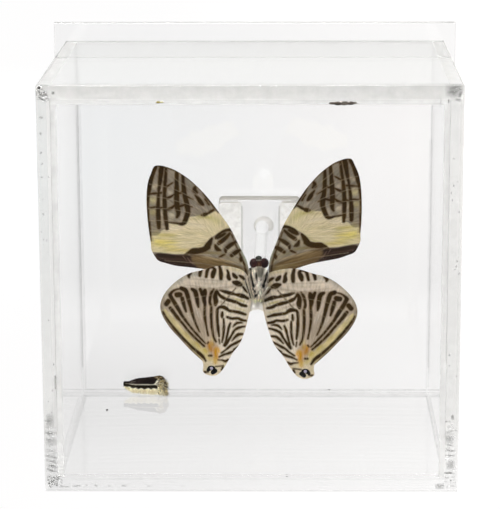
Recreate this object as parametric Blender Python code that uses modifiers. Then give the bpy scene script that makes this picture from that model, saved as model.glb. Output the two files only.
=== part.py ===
"""A butterfly in a clear acrylic display case.

Five acrylic sheets make a box, and its open back is closed by a larger plate. A square block is
taped to the plate, and a clear rod runs from it to the butterfly's thorax, so that the specimen
floats just behind the front sheet with its underside to the viewer. Its abdomen has come off
and lies on the floor of the case, against the plate.

Frame: X to the right, Y into the case, Z up. The front faces -Y. The origin is at the bottom,
in the middle of the footprint. Lengths are in metres.
"""

from math import cos, pi, radians, sin

import bmesh
import bpy

MM = 0.001

# Case
CASE_WIDTH = 108 * MM
CASE_HEIGHT = 107.5 * MM
CASE_DEPTH = 82 * MM  # from the front face to the plate
SHEET = 3.2 * MM  # 1/8 inch cast acrylic
CEMENT = 0.3 * MM  # gap left at every cemented joint
EDGE = 0.15 * MM  # eased edge of each sheet
PLATE_SIDE = 3.5 * MM  # the plate stands out this far at each side
PLATE_TOP = 5 * MM  # and this far above the case

# What holds the butterfly
ROD_X = 2 * MM
ROD_Z = 55 * MM
ROD_RADIUS = 1.5 * MM
ROD_FOOT_RADIUS = 2.8 * MM  # glue drawn up round the rod where it meets the block
ROD_FOOT_LENGTH = 1.6 * MM
ROD_FRONT = 15.2 * MM  # depth of the rod's end, behind the thorax
BLOCK_SIZE = 23.4 * MM
BLOCK_THICK = 5.9 * MM
BLOCK_X = 1.4 * MM
BLOCK_TOP = 62.6 * MM
TAPE_THICK = 0.5 * MM
TAPE_WIDTH = 6.4 * MM
TAPE_HEIGHT = 19 * MM
TAPE_CORNER = 1.4 * MM

# Butterfly
MIDLINE_X = 1.9 * MM
THORAX_DEPTH = 12.4 * MM  # depth of the thorax's long axis behind the front face
THORAX_Z = 48.86 * MM  # tail end of the thorax
HEAD_RADIUS = 1.35 * MM
HEAD_Z = 58.96 * MM
EYE_RADIUS = 1.2 * MM
EYE_SPREAD = 1.25 * MM  # from the midline to the middle of each eye
WING_THICK = 0.36 * MM
FOREWING_DEPTH = 14.9 * MM
HINDWING_DEPTH = 14.2 * MM
WING_LIFT = 0.5 * MM  # how far the wing tips come forward of the roots
WING_REACH = 24 * MM

# Abdomen, lying along X
ABDOMEN_LENGTH = 13 * MM
ABDOMEN_TIP_X = -38.9 * MM
ABDOMEN_RADIUS = 2.45 * MM
ABDOMEN_DEPTH = 79.1 * MM
ABDOMEN_RISE = 4  # degrees that its thick end is tipped up

TOTAL_DEPTH = CASE_DEPTH + SHEET
FRONT_Y = -TOTAL_DEPTH / 2

# Wing outlines in millimetres from the root: outwards, then up, going round from the root along
# the leading edge. The left wings are the same shapes, drawn out a little as they dried.
FOREWING = [
    (-0.35, -1.2), (-0.25, 0.6), (0.15, 2.7), (1.05, 5), (2.05, 7.5), (3, 10), (4.05, 12.2),
    (5.8, 15.2), (8.1, 19), (10.2, 21.9), (13, 25), (16, 27.4), (18.4, 28.6), (20.2, 29.05),
    (21.3, 28.75), (22.1, 27.2), (23.1, 24.8), (23.7, 21.5), (23.95, 16.5), (23.85, 12),
    (23.65, 9), (23.65, 7.2), (23, 5.5), (22.1, 4.1), (20.3, 3.3), (17.8, 2.4), (14.5, 1.75),
    (11, 1), (8.2, 0.1), (5, -1), (2, -1.9), (0.3, -2),
]
HINDWING = [
    (-0.7, -1.2), (0.1, 0.2), (1.5, 1), (4, 1.5), (6.6, 1.7), (9, 1.3), (12, 0.35),
    (15.2, -0.5), (18.4, -2.3), (21.2, -4.8), (23, -7.4), (23.6, -10.2), (22.5, -12.9),
    (20.6, -15.6), (18.5, -17.9), (15.9, -20.8), (13.6, -23), (12.4, -24.4), (12.2, -25.9),
    (12.35, -27.1), (11.4, -27.95), (9.5, -28.3), (7.7, -27.5), (5.9, -25.2), (4, -22),
    (2, -19.4), (0.6, -16.2), (-0.4, -12.8), (-1.15, -9.6), (-1.35, -7.6), (-1.3, -5),
    (-1.1, -3),
]
# name, outline, depth, side, root x and z in mm, turn in degrees, width, height, lean
WINGS = [
    ("right_forewing", FOREWING, FOREWING_DEPTH, 1, (4.9, 57.26), 0, 1, 1, 0),
    ("left_forewing", FOREWING, FOREWING_DEPTH, -1, (-0.95, 56.56), -4, 1.045, 1.015, 0),
    ("right_hindwing", HINDWING, HINDWING_DEPTH, 1, (4.3, 55.33), 0, 1, 1, 0),
    ("left_hindwing", HINDWING, HINDWING_DEPTH, -1, (-1.6, 55.93), 1.5, 0.955, 1, 0.045),
]


def clear_scene():
    for obj in list(bpy.data.objects):
        bpy.data.objects.remove(obj, do_unlink=True)


def new_collection(name):
    collection = bpy.data.collections.new(name)
    bpy.context.scene.collection.children.link(collection)
    return collection


def put_in(obj, collection):
    for other in list(obj.users_collection):
        other.objects.unlink(obj)
    collection.objects.link(obj)


def make_material(name, colour, roughness, transmission=0.0, ior=1.5):
    material = bpy.data.materials.new(name)
    material.use_nodes = True
    shader = material.node_tree.nodes["Principled BSDF"]
    shader.inputs["Base Color"].default_value = (*colour, 1)
    shader.inputs["Roughness"].default_value = roughness
    shader.inputs["Transmission Weight"].default_value = transmission
    shader.inputs["IOR"].default_value = ior
    return material


def finish(obj, name, material, collection, smooth=False):
    obj.name = name
    obj.data.name = name
    obj.data.materials.clear()
    obj.data.materials.append(material)
    if smooth:
        obj.data.shade_smooth()
        obj.data.set_sharp_from_angle(angle=radians(35))
    put_in(obj, collection)
    return obj


def depth(from_front):
    """The Y of a place this far behind the front face."""
    return FRONT_Y + from_front


def sheet(name, low, high, material, collection):
    """A flat block between two corners, with its edges eased."""
    size = [b - a for a, b in zip(low, high)]
    middle = [(a + b) / 2 for a, b in zip(low, high)]
    bpy.ops.mesh.primitive_cube_add(size=1, location=middle)
    obj = bpy.context.object
    obj.scale = size
    bpy.ops.object.transform_apply(location=False, rotation=False, scale=True)
    eased = obj.modifiers.new("eased edges", "BEVEL")
    eased.width = EDGE
    eased.segments = 1
    return finish(obj, name, material, collection)


def turned(name, profile, material, collection, steps=24):
    """A round piece from (radius, height) pairs, top to bottom, turned about Z at the origin."""
    mesh = bpy.data.meshes.new(name)
    shape = bmesh.new()
    points = [shape.verts.new((radius, 0, height)) for radius, height in profile]
    for first, second in zip(points, points[1:]):
        shape.edges.new((first, second))
    shape.to_mesh(mesh)
    shape.free()
    obj = bpy.data.objects.new(name, mesh)
    bpy.context.scene.collection.objects.link(obj)
    screw = obj.modifiers.new("turned", "SCREW")
    screw.steps = steps
    screw.render_steps = steps
    screw.use_merge_vertices = True
    screw.merge_threshold = 0.00001
    return finish(obj, name, material, collection, smooth=True)


def as_mesh(obj):
    """A plain mesh copy of what the object shows, with its loose caps welded; the object goes."""
    graph = bpy.context.evaluated_depsgraph_get()
    mesh = bpy.data.meshes.new_from_object(obj.evaluated_get(graph))
    shape = bmesh.new()
    shape.from_mesh(mesh)
    bmesh.ops.remove_doubles(shape, verts=shape.verts, dist=0.000001)
    bmesh.ops.recalc_face_normals(shape, faces=shape.faces)
    shape.to_mesh(mesh)
    shape.free()
    made = bpy.data.objects.new(obj.name + "_mesh", mesh)
    made.matrix_world = obj.matrix_world.copy()
    bpy.context.scene.collection.objects.link(made)
    bpy.data.objects.remove(obj, do_unlink=True)
    return made


def flat_outline(name, points, half_thickness, resolution):
    """A closed smooth outline standing in the XZ plane, filled and given a thickness along Y."""
    curve = bpy.data.curves.new(name, "CURVE")
    curve.dimensions = "2D"
    curve.fill_mode = "BOTH"
    curve.extrude = half_thickness
    curve.resolution_u = resolution
    spline = curve.splines.new("BEZIER")
    spline.bezier_points.add(len(points) - 1)
    for knot, (x, z) in zip(spline.bezier_points, points):
        knot.co = (x, z, 0)
        knot.handle_left_type = "AUTO"
        knot.handle_right_type = "AUTO"
    spline.use_cyclic_u = True
    obj = bpy.data.objects.new(name, curve)
    obj.rotation_euler = (pi / 2, 0, 0)
    bpy.context.scene.collection.objects.link(obj)
    bpy.context.view_layer.update()
    return obj


def make_case(acrylic, collection):
    side = CASE_WIDTH / 2
    inner = side - SHEET
    behind_front = depth(SHEET + CEMENT)
    before_plate = depth(CASE_DEPTH - CEMENT)
    sheet("front_panel", (-side, depth(0), 0), (side, depth(SHEET), CASE_HEIGHT),
          acrylic, collection)
    sheet("bottom_wall", (-side, behind_front, 0), (side, before_plate, SHEET),
          acrylic, collection)
    sheet("top_wall", (-side, behind_front, CASE_HEIGHT - SHEET),
          (side, before_plate, CASE_HEIGHT), acrylic, collection)
    low = SHEET + CEMENT
    high = CASE_HEIGHT - SHEET - CEMENT
    sheet("left_wall", (-side, behind_front, low), (-inner, before_plate, high),
          acrylic, collection)
    sheet("right_wall", (inner, behind_front, low), (side, before_plate, high),
          acrylic, collection)
    reach = side + PLATE_SIDE
    sheet("back_plate", (-reach, depth(CASE_DEPTH), 0),
          (reach, depth(TOTAL_DEPTH), CASE_HEIGHT + PLATE_TOP), acrylic, collection)


def rounded_strip(middle_x, middle_z, width, height, corner):
    """Corner points of a rounded upright strip, three to each corner."""
    points = []
    for turn, (side, rise) in enumerate([(1, 1), (-1, 1), (-1, -1), (1, -1)]):
        centre_x = middle_x + side * (width / 2 - corner)
        centre_z = middle_z + rise * (height / 2 - corner)
        for part in range(3):
            angle = (turn + part / 2) * pi / 2
            points.append((centre_x + corner * cos(angle), centre_z + corner * sin(angle)))
    return points


def make_tape(name, side, tape, collection):
    """One strip of clear foam tape between the block and the plate."""
    middle_x = BLOCK_X + side * (BLOCK_SIZE - TAPE_WIDTH) / 2
    middle_z = BLOCK_TOP - 1.9 * MM - TAPE_HEIGHT / 2
    outline = rounded_strip(middle_x, middle_z, TAPE_WIDTH, TAPE_HEIGHT, TAPE_CORNER)
    strip = flat_outline(name + "_outline", outline, TAPE_THICK / 2, 2)
    for knot in strip.data.splines[0].bezier_points:
        knot.handle_left_type = "VECTOR"
        knot.handle_right_type = "VECTOR"
    strip.location.y = depth(CASE_DEPTH - CEMENT - TAPE_THICK / 2)
    bpy.context.view_layer.update()
    finish(as_mesh(strip), name, tape, collection)


def make_holder(acrylic, tape, collection):
    block_back = CASE_DEPTH - 2 * CEMENT - TAPE_THICK
    half = BLOCK_SIZE / 2
    sheet("mounting_block",
          (BLOCK_X - half, depth(block_back - BLOCK_THICK), BLOCK_TOP - BLOCK_SIZE),
          (BLOCK_X + half, depth(block_back), BLOCK_TOP), acrylic, collection)
    make_tape("left_tape_strip", -1, tape, collection)
    make_tape("right_tape_strip", 1, tape, collection)
    rod_back = block_back - BLOCK_THICK - CEMENT
    length = rod_back - ROD_FRONT
    foot = [(ROD_RADIUS + (ROD_FOOT_RADIUS - ROD_RADIUS) * (1 - sin(a)),
             ROD_FOOT_LENGTH * (1 - cos(a)))
            for a in (pi / 2 * step / 5 for step in range(5, -1, -1))]
    profile = [(0, length), (ROD_RADIUS, length), *foot, (0, 0)]
    rod = turned("support_rod", profile, acrylic, collection)
    rod.location = (ROD_X, depth(rod_back), ROD_Z)
    rod.rotation_euler = (pi / 2, 0, 0)


def ball(name, radius, place, stretch=(1, 1, 1)):
    bpy.ops.mesh.primitive_uv_sphere_add(segments=20, ring_count=12, radius=radius,
                                         location=place)
    obj = bpy.context.object
    obj.name = name
    obj.scale = stretch
    bpy.ops.object.transform_apply(location=False, rotation=False, scale=True)
    return obj


def make_body(chitin, collection, cutters):
    """Thorax, head, eyes and palps, which grew as one piece."""
    profile = [(0, 10.2), (1.3, 9.9), (2.05, 9.1), (2.4, 7.9), (2.35, 6.4), (2.1, 4.7),
               (1.65, 3), (1.1, 1.5), (0.6, 0.5), (0, 0)]
    thorax = turned("body", [(r * MM, z * MM) for r, z in profile], chitin, collection, 20)
    thorax.location = (MIDLINE_X, depth(THORAX_DEPTH), THORAX_Z)
    middle = depth(THORAX_DEPTH)
    head = ball("head", HEAD_RADIUS, (MIDLINE_X, middle, HEAD_Z))
    eyes = [ball(f"eye_{side}", EYE_RADIUS,
                 (MIDLINE_X + side * EYE_SPREAD, middle - 0.2 * MM, HEAD_Z + 0.1 * MM),
                 (0.95, 1, 1.05)) for side in (-1, 1)]
    palps = ball("palps", 0.75 * MM, (MIDLINE_X, middle - 0.3 * MM, HEAD_Z + 1 * MM),
                 (1, 1.1, 1))
    for piece in (head, *eyes, palps):
        put_in(piece, cutters)
        piece.hide_render = True
        piece.display_type = "WIRE"
        join = thorax.modifiers.new("grown with " + piece.name, "BOOLEAN")
        join.operation = "UNION"
        join.solver = "EXACT"
        join.object = piece


def wing_place(point, side, root, turn, width, height, lean):
    """Where a point of a wing outline comes, in metres along X and Z."""
    out = point[0] * width + point[1] * lean
    up = point[1] * height
    angle = radians(turn)
    turned_out = out * cos(angle) - up * sin(angle)
    turned_up = out * sin(angle) + up * cos(angle)
    return (root[0] + side * turned_out) * MM, (root[1] + turned_up) * MM


def make_wing(wing, membrane, collection, cutters):
    """A thin sheet that curves forward towards its tip, cut to the wing's outline."""
    name, outline, wing_depth, side, root, turn, width, height, lean = wing
    points = [wing_place(p, side, root, turn, width, height, lean) for p in outline]
    prism = as_mesh(flat_outline(name + "_outline", points, 4 * MM, 3))
    prism.location.y = depth(wing_depth)
    put_in(prism, cutters)
    prism.hide_render = True
    prism.display_type = "WIRE"
    strips = 12
    xs = [x for x, _ in points]
    zs = [z for _, z in points]
    left, right = min(xs) - 1 * MM, max(xs) + 1 * MM
    low, high = min(zs) - 1 * MM, max(zs) + 1 * MM
    bpy.ops.mesh.primitive_grid_add(x_subdivisions=strips, y_subdivisions=1, size=1)
    obj = bpy.context.object
    for vertex in obj.data.vertices:
        x = left + (vertex.co.x + 0.5) * (right - left)
        z = low + (vertex.co.y + 0.5) * (high - low)
        reach = (x - root[0] * MM) / WING_REACH
        vertex.co = (x, depth(wing_depth) - WING_LIFT * reach**2, z)
    thick = obj.modifiers.new("thickness", "SOLIDIFY")
    thick.thickness = WING_THICK
    thick.offset = 0
    cut = obj.modifiers.new("outline", "BOOLEAN")
    cut.operation = "INTERSECT"
    cut.solver = "EXACT"
    cut.object = prism
    return finish(obj, name, membrane, collection)


def make_abdomen(chitin, collection):
    """Tapered and ringed, thick and torn at the end that was joined to the thorax."""
    shape = [(0, 0), (0.42, 0.02), (0.62, 0.12), (0.78, 0.26), (0.9, 0.42), (0.97, 0.6),
             (1, 0.76), (0.95, 0.88), (0.78, 0.96), (0.5, 1), (0, 1)]
    profile = [(r * ABDOMEN_RADIUS, z * ABDOMEN_LENGTH) for r, z in reversed(shape)]
    abdomen = turned("abdomen", profile, chitin, collection, 18)
    tip_z = SHEET + CEMENT + ABDOMEN_RADIUS * 0.99
    abdomen.location = (ABDOMEN_TIP_X, depth(ABDOMEN_DEPTH), tip_z - 0.6 * MM)
    abdomen.rotation_euler = (0, radians(90 - ABDOMEN_RISE), 0)


def main():
    clear_scene()
    parts = new_collection("butterfly in acrylic case")
    cutters = new_collection("cutters")
    acrylic = make_material("clear cast acrylic", (0.96, 0.97, 0.97), 0.03, 1, 1.49)
    tape = make_material("clear foam tape", (0.85, 0.86, 0.85), 0.4, 0.6, 1.45)
    membrane = make_material("scaled wing membrane", (0.45, 0.38, 0.25), 0.75)
    chitin = make_material("hairy chitin", (0.12, 0.09, 0.06), 0.7)
    make_case(acrylic, parts)
    make_holder(acrylic, tape, parts)
    make_body(chitin, parts, cutters)
    for wing in WINGS:
        make_wing(wing, membrane, parts, cutters)
    make_abdomen(chitin, parts)


main()
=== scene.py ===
# %% [markdown]
# # A butterfly in a clear acrylic case
# The real thing is a box of clear acrylic sheet, cemented at its edges, with a larger plate for a
# back. A zebra-striped butterfly floats in it on a clear rod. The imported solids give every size
# and place, so this lesson loads them first and builds the looks over them.

# %% Load the frame
import math
import random

import bmesh
import bpy
import numpy as np
from mathutils import Matrix, Vector, noise


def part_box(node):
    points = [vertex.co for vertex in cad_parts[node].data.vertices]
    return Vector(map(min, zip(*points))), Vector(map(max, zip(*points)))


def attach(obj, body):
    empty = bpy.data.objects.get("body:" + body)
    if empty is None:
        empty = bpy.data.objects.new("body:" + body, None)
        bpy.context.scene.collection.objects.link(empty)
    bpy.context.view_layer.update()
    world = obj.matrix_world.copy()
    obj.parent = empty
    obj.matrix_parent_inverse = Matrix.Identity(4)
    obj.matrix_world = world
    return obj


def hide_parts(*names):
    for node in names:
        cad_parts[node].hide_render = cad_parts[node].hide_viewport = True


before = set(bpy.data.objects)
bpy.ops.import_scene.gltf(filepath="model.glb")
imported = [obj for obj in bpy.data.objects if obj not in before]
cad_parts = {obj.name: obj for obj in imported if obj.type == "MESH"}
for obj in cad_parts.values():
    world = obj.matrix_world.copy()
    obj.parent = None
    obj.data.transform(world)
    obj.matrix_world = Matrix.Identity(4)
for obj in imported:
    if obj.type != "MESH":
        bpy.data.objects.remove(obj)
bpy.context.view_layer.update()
MM = 0.001
print("solids in the frame:", len(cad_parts))

# %% [markdown]
# ## Helpers
# Each one is small. Colours are written as the sRGB hex values that a picture editor shows, and
# Blender wants linear light, so one function converts them.


# %% Colours and nodes
def linear(hex_colour):
    """An sRGB hex colour as linear red, green and blue."""
    parts = [int(hex_colour[i:i + 2], 16) / 255 for i in (1, 3, 5)]
    return tuple(c / 12.92 if c <= 0.04045 else ((c + 0.055) / 1.055) ** 2.4 for c in parts)


def add_node(material, kind, settings=()):
    """Adds a node. A setting is a property, a socket's fixed value or another node's socket."""
    tree = material.node_tree
    made = tree.nodes.new(kind)
    for name, value in dict(settings).items():
        if isinstance(value, bpy.types.NodeSocket):
            tree.links.new(value, made.inputs[name])
        elif isinstance(name, str) and hasattr(made, name):
            setattr(made, name, value)
        else:
            made.inputs[name].default_value = value
    return made


def new_material(name, hex_colour, **sockets):
    """A Principled material. Socket names are written with _ for the space."""
    material = bpy.data.materials.new(name)
    material.use_nodes = True
    shader = material.node_tree.nodes["Principled BSDF"]
    shader.inputs["Base Color"].default_value = (*linear(hex_colour), 1)
    for socket, value in sockets.items():
        shader.inputs[socket.replace("_", " ")].default_value = value
    return material, shader


def link(material, source, shader, socket):
    material.node_tree.links.new(source, shader.inputs[socket])


def in_object(material):
    """Coordinates that stay with the object."""
    return add_node(material, "ShaderNodeTexCoord").outputs["Object"]


def stored(material, name, output="Fac"):
    """The number, colour or place that the mesh carries under this name."""
    return add_node(material, "ShaderNodeAttribute", {"attribute_name": name}).outputs[output]


def cloudy(material, where, scale, detail, roughness=0.5):
    """Soft noise at the given coordinates."""
    return add_node(material, "ShaderNodeTexNoise", {
        "Scale": scale, "Detail": detail, "Roughness": roughness,
        "Vector": where}).outputs["Fac"]


def ramp(material, source, start, end, low=0.0, high=1.0, kind="LINEAR"):
    """Turns the source's run from start to end into a run from low to high."""
    return add_node(material, "ShaderNodeMapRange", {
        "interpolation_type": kind, "From Min": start, "From Max": end, "To Min": low,
        "To Max": high, "Value": source}).outputs[0]


def soft_ramp(material, source, start, end, low=0.0, high=1.0):
    return ramp(material, source, start, end, low, high, "SMOOTHSTEP")


def reckon(material, operation, *values, clamp=False):
    """Arithmetic with sockets and fixed numbers."""
    return add_node(material, "ShaderNodeMath", {
        "operation": operation, "use_clamp": clamp, **dict(enumerate(values))}).outputs[0]


def blend(material, factor, first, second, kind="MIX"):
    """A colour mix whose ends are sockets, hex colours or linear ones."""
    first, second = ((*linear(end), 1) if isinstance(end, str) else end
                     for end in (first, second))
    return add_node(material, "ShaderNodeMix", {
        "data_type": "RGBA", "blend_type": kind, 0: factor, 6: first, 7: second}).outputs[2]


def bump(material, shader, height, strength, distance):
    made = add_node(material, "ShaderNodeBump", {
        "Strength": strength, "Distance": distance, "Height": height})
    link(material, made.outputs[0], shader, "Normal")


# %% Selecting and shaping
def alone(obj):
    """Selects one object and nothing else."""
    bpy.ops.object.select_all(action="DESELECT")
    obj.select_set(True)
    bpy.context.view_layer.objects.active = obj


def primitive(name, add, **settings):
    """One of Blender's own shapes, under its own name."""
    bpy.ops.object.select_all(action="DESELECT")
    add(**settings)
    obj = bpy.context.object
    obj.name = obj.data.name = name
    return obj


def place_applied(obj):
    alone(obj)
    bpy.ops.object.transform_apply(location=True, rotation=True, scale=True)
    return obj


def cube(name, low, high):
    """A cube primitive stretched between two corners."""
    low, high = Vector(low), Vector(high)
    obj = primitive(name, bpy.ops.mesh.primitive_cube_add, size=1, location=(low + high) / 2)
    obj.scale = high - low
    return place_applied(obj)


def in_edit(obj, mode, test):
    """Opens edit mode with only the faces, edges or vertices that pass the test selected."""
    alone(obj)
    bpy.ops.object.mode_set(mode="EDIT")
    bpy.ops.mesh.select_mode(type=mode)
    bpy.ops.mesh.select_all(action="DESELECT")
    shape = bmesh.from_edit_mesh(obj.data)
    parts = {"FACE": shape.faces, "EDGE": shape.edges, "VERT": shape.verts}[mode]
    for part in parts:
        part.select_set(bool(test(part)))
    bmesh.update_edit_mesh(obj.data)


def out_of_edit():
    bpy.ops.object.mode_set(mode="OBJECT")


def cut_across(obj, place, normal):
    """Cuts every face along one plane and keeps both sides."""
    in_edit(obj, "FACE", lambda face: True)
    bpy.ops.mesh.bisect(plane_co=place, plane_no=normal)
    out_of_edit()


def bevel(obj, test, width, steps):
    """Rounds the edges that pass the test."""
    in_edit(obj, "EDGE", test)
    bpy.ops.mesh.bevel(offset=width, segments=steps)
    out_of_edit()


def run_back(edge):
    """How far an edge runs from front to back."""
    return abs((edge.verts[0].co - edge.verts[1].co).y)


def round_block(obj, corner, steps, eased):
    """Rounds the four corners that run back, and then eases every sharp edge."""
    bevel(obj, lambda edge: run_back(edge) > 0.5 * MM, corner, steps)
    bevel(obj, lambda edge: edge.calc_face_angle(0) > 1, eased, 2)


def flip(obj):
    in_edit(obj, "FACE", lambda face: True)
    bpy.ops.mesh.flip_normals()
    out_of_edit()


def face_outward(obj):
    in_edit(obj, "FACE", lambda face: True)
    bpy.ops.mesh.normals_make_consistent(inside=False)
    out_of_edit()


def smooth(obj, angle=40):
    alone(obj)
    bpy.ops.object.shade_smooth_by_angle(angle=math.radians(angle))
    return obj


def apply_modifier(obj, kind, **settings):
    alone(obj)
    made = obj.modifiers.new(kind.title(), kind)
    for name, value in settings.items():
        setattr(made, name, value)
    bpy.ops.object.modifier_apply(modifier=made.name)


def join(first, *others):
    alone(first)
    for other in others:
        other.select_set(True)
    bpy.ops.object.join()


def piece_from(name, mesh):
    obj = bpy.data.objects.new(name, mesh)
    bpy.context.scene.collection.objects.link(obj)
    return obj


def piece_from_bmesh(name, shape):
    mesh = bpy.data.meshes.new(name)
    shape.to_mesh(mesh)
    shape.free()
    return piece_from(name, mesh)


# %% What a mesh carries
def vertex_places(obj):
    """The vertices' places as rows of an array."""
    flat = np.zeros(len(obj.data.vertices) * 3)
    obj.data.vertices.foreach_get("co", flat)
    return flat.reshape(-1, 3)


def keep_values(obj, name, values, kind="FLOAT"):
    """Stores one number, place or colour for every vertex."""
    layer = obj.data.attributes.new(name, kind, "POINT")
    if kind == "FLOAT":
        layer.data.foreach_set("value", values.astype(np.float32))
    elif kind == "FLOAT_VECTOR":
        layer.data.foreach_set("vector", values.astype(np.float32).ravel())
    else:
        rgba = np.ones((len(obj.data.vertices), 4), np.float32)
        rgba[:, :3] = values
        layer.data.foreach_set("color", rgba.ravel())


def tint_piece(obj, colours):
    """Stores a linear colour for every vertex, or the same one for all of them."""
    keep_values(obj, "ground", colours, "FLOAT_COLOR")
    return obj


def give_material(obj, index, test):
    """Hands the faces that pass the test to another of the piece's materials."""
    in_edit(obj, "FACE", test)
    obj.active_material_index = index
    bpy.ops.object.material_slot_assign()
    out_of_edit()


def dress(obj, *materials, replaces=(), slot=None):
    """Gives a finished piece its materials, lets it ride, and hides the solids it stands for."""
    obj.data.materials.clear()
    for material in materials:
        obj.data.materials.append(material)
    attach(obj, "root")
    if replaces:
        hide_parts(*replaces)
    print(obj.name, "has", len(obj.data.polygons), "faces")
    return obj


# %% [markdown]
# ## The places that everything hangs on
# These come from the solids' own boxes, so that the looks follow the solids. Depth is counted
# from the front face, as a ruler laid into the case would read.

# %% Places
front_low, front_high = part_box("front_panel")
plate_low, plate_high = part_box("back_plate")
rod_low, rod_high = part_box("support_rod")
block_low, block_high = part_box("mounting_block")
SIDE = front_high.x
TOP = front_high.z
SHEET = front_high.y - front_low.y
FRONT = front_low.y
FRONT_MM = FRONT / MM
PLATE = plate_low.y
INNER = SIDE - SHEET


def depth(millimetres):
    """The Y of a place this far behind the front face."""
    return FRONT + millimetres * MM


print(f"case {2000 * SIDE:.1f} wide, {1000 * TOP:.1f} high, sheet {1000 * SHEET:.2f} mm")

# %% [markdown]
# ## Camera
# The photo was taken from a little above, with a long lens, so that the sides of the box hardly
# converge. The place, aim and lens come from lines fitted along the case's edges.

# %% Camera
CAMERA_PLACE = (0.00982, -0.61521, 0.19872)
YAW, PITCH, ROLL = math.radians(-0.9892), math.radians(13.2454), math.radians(-0.1982)
LENS = 162.67

forward = Vector((math.sin(YAW) * math.cos(PITCH), math.cos(YAW) * math.cos(PITCH),
                  -math.sin(PITCH)))
level = Vector((math.cos(YAW), -math.sin(YAW), 0))
upright = level.cross(forward)
right = math.cos(ROLL) * level + math.sin(ROLL) * upright
up = -math.sin(ROLL) * level + math.cos(ROLL) * upright
camera_data = bpy.data.cameras.new("camera")
camera_data.lens = LENS
camera_data.sensor_width = 36
camera = bpy.data.objects.new("camera", camera_data)
bpy.context.scene.collection.objects.link(camera)
turn = Matrix((right, up, -forward)).transposed()
camera.matrix_world = Matrix.Translation(CAMERA_PLACE) @ turn.to_4x4()
bpy.context.scene.camera = camera
print("camera looks down", round(math.degrees(PITCH), 2), "degrees")

# %% [markdown]
# ## Light and floor
# Clear acrylic is seen only by what it bends and mirrors. The picture was taken on a glowing
# white ground. The front sheet mirrors the ground before it, so the ground is dark grey there,
# just out of the picture, as if a card lay on it: without it a white veil would lie over the
# butterfly. The light comes from a soft box above the camera. The left of the room is a touch
# cooler than the right.

# %% Room
scene = bpy.context.scene
scene.view_settings.view_transform = "Standard"
scene.view_settings.look = "None"
# Light crosses many faces of clear sheet before it reaches the camera.
scene.cycles.max_bounces = scene.cycles.transmission_bounces = 24
scene.cycles.glossy_bounces = 8
world = bpy.data.worlds.new("studio")
scene.world = world
world.use_nodes = True
background = world.node_tree.nodes["Background"]
where = add_node(world, "ShaderNodeTexCoord").outputs["Generated"]
axes = add_node(world, "ShaderNodeSeparateXYZ", {0: where}).outputs
toward_back = soft_ramp(world, axes["Y"], -0.8, 0.2, 0.3, 1)
toward_right = ramp(world, axes["X"], -0.7, 0.7)
overhead = soft_ramp(world, axes["Z"], 0.35, 0.95, 1, 0.6)
level_light = reckon(world, "MULTIPLY", toward_back, overhead)
tint = blend(world, toward_right, (0.84, 0.86, 0.87, 1), (1.0, 0.98, 0.94, 1))
link(world, blend(world, 1.0, tint, level_light, "MULTIPLY"), background, "Color")
background.inputs["Strength"].default_value = 1.0

key_data = bpy.data.lights.new("softbox", "AREA")
key_data.shape = "RECTANGLE"
key_data.size, key_data.size_y = 0.8, 0.5
key_data.energy = 23.0
key = bpy.data.objects.new("softbox", key_data)
key.location = (-0.3, -0.75, 0.75)
key.rotation_euler = (Vector((0, 0, 0.05)) - key.location).to_track_quat("-Z", "Y").to_euler()
scene.collection.objects.link(key)
print("soft box:", key_data.energy, "W")

# %% Floor
floor = primitive("floor", bpy.ops.mesh.primitive_plane_add, size=8)
glowing, shader = new_material("glowing white ground", "#000000", Specular_IOR_Level=0)
axes = add_node(glowing, "ShaderNodeSeparateXYZ", {0: in_object(glowing)}).outputs
toward_right = ramp(glowing, axes["X"], -0.075, 0.075)
glow_near = blend(glowing, toward_right, (0.995, 0.99, 0.99, 1), (1.055, 1.045, 1.04, 1))
glow_far = blend(glowing, toward_right, (1.03, 1.04, 1.045, 1), (1.15, 1.13, 1.12, 1))
far_in = soft_ramp(glowing, axes["Y"], 0.05, 0.42)
far_out = soft_ramp(glowing, axes["Y"], 0.5, 0.75, 1, 0)
far = reckon(glowing, "MULTIPLY", far_in, far_out)
link(glowing, blend(glowing, far, glow_near, glow_far), shader, "Emission Color")
past_card = soft_ramp(glowing, axes["Y"], -0.115, -0.06, 0.08, 1)
# Painted shadow: the glow is turned down under the case and just behind it, most at the left.
past_side = reckon(glowing, "SUBTRACT", reckon(glowing, "ABSOLUTE", axes["X"]), SIDE)
past_front = reckon(glowing, "MULTIPLY_ADD", axes["Y"], -1.0, FRONT)
outside = reckon(glowing, "MAXIMUM", past_side, past_front)
open_ground = soft_ramp(glowing, outside, -0.0006, 0.0)
behind = soft_ramp(glowing, axes["Y"], 0.045, 0.14)
lit = reckon(glowing, "MAXIMUM", open_ground, behind)
under_x = ramp(glowing, axes["X"], -0.05, 0.05, 0.875, 0.99)
under_y = ramp(glowing, axes["Y"], -0.04, 0.04, 0.97, 1.025)
under_case = ramp(glowing, lit, 0, 1, reckon(glowing, "MULTIPLY", under_x, under_y))
link(glowing, reckon(glowing, "MULTIPLY", past_card, under_case), shader, "Emission Strength")
floor.data.materials.append(glowing)
print("floor:", [round(side, 2) for side in floor.dimensions])

# %% [markdown]
# ## Clear acrylic
# Cast acrylic bends light by 1.49, a little less than window glass, and has almost no colour.
# Its faces are as cast, so they are as smooth as glass.

# %% Acrylic
ACRYLIC_IOR = 1.49
acrylic, shader = new_material("clear cast acrylic", "#FCFCFC", Roughness=0.0, IOR=ACRYLIC_IOR,
                               Transmission_Weight=1.0)
absorbing = add_node(acrylic, "ShaderNodeVolumeAbsorption", {
    "Color": (*linear("#E6E6E2"), 1), "Density": 6.0})
link(acrylic, absorbing.outputs[0], acrylic.node_tree.nodes["Material Output"], "Volume")

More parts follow.
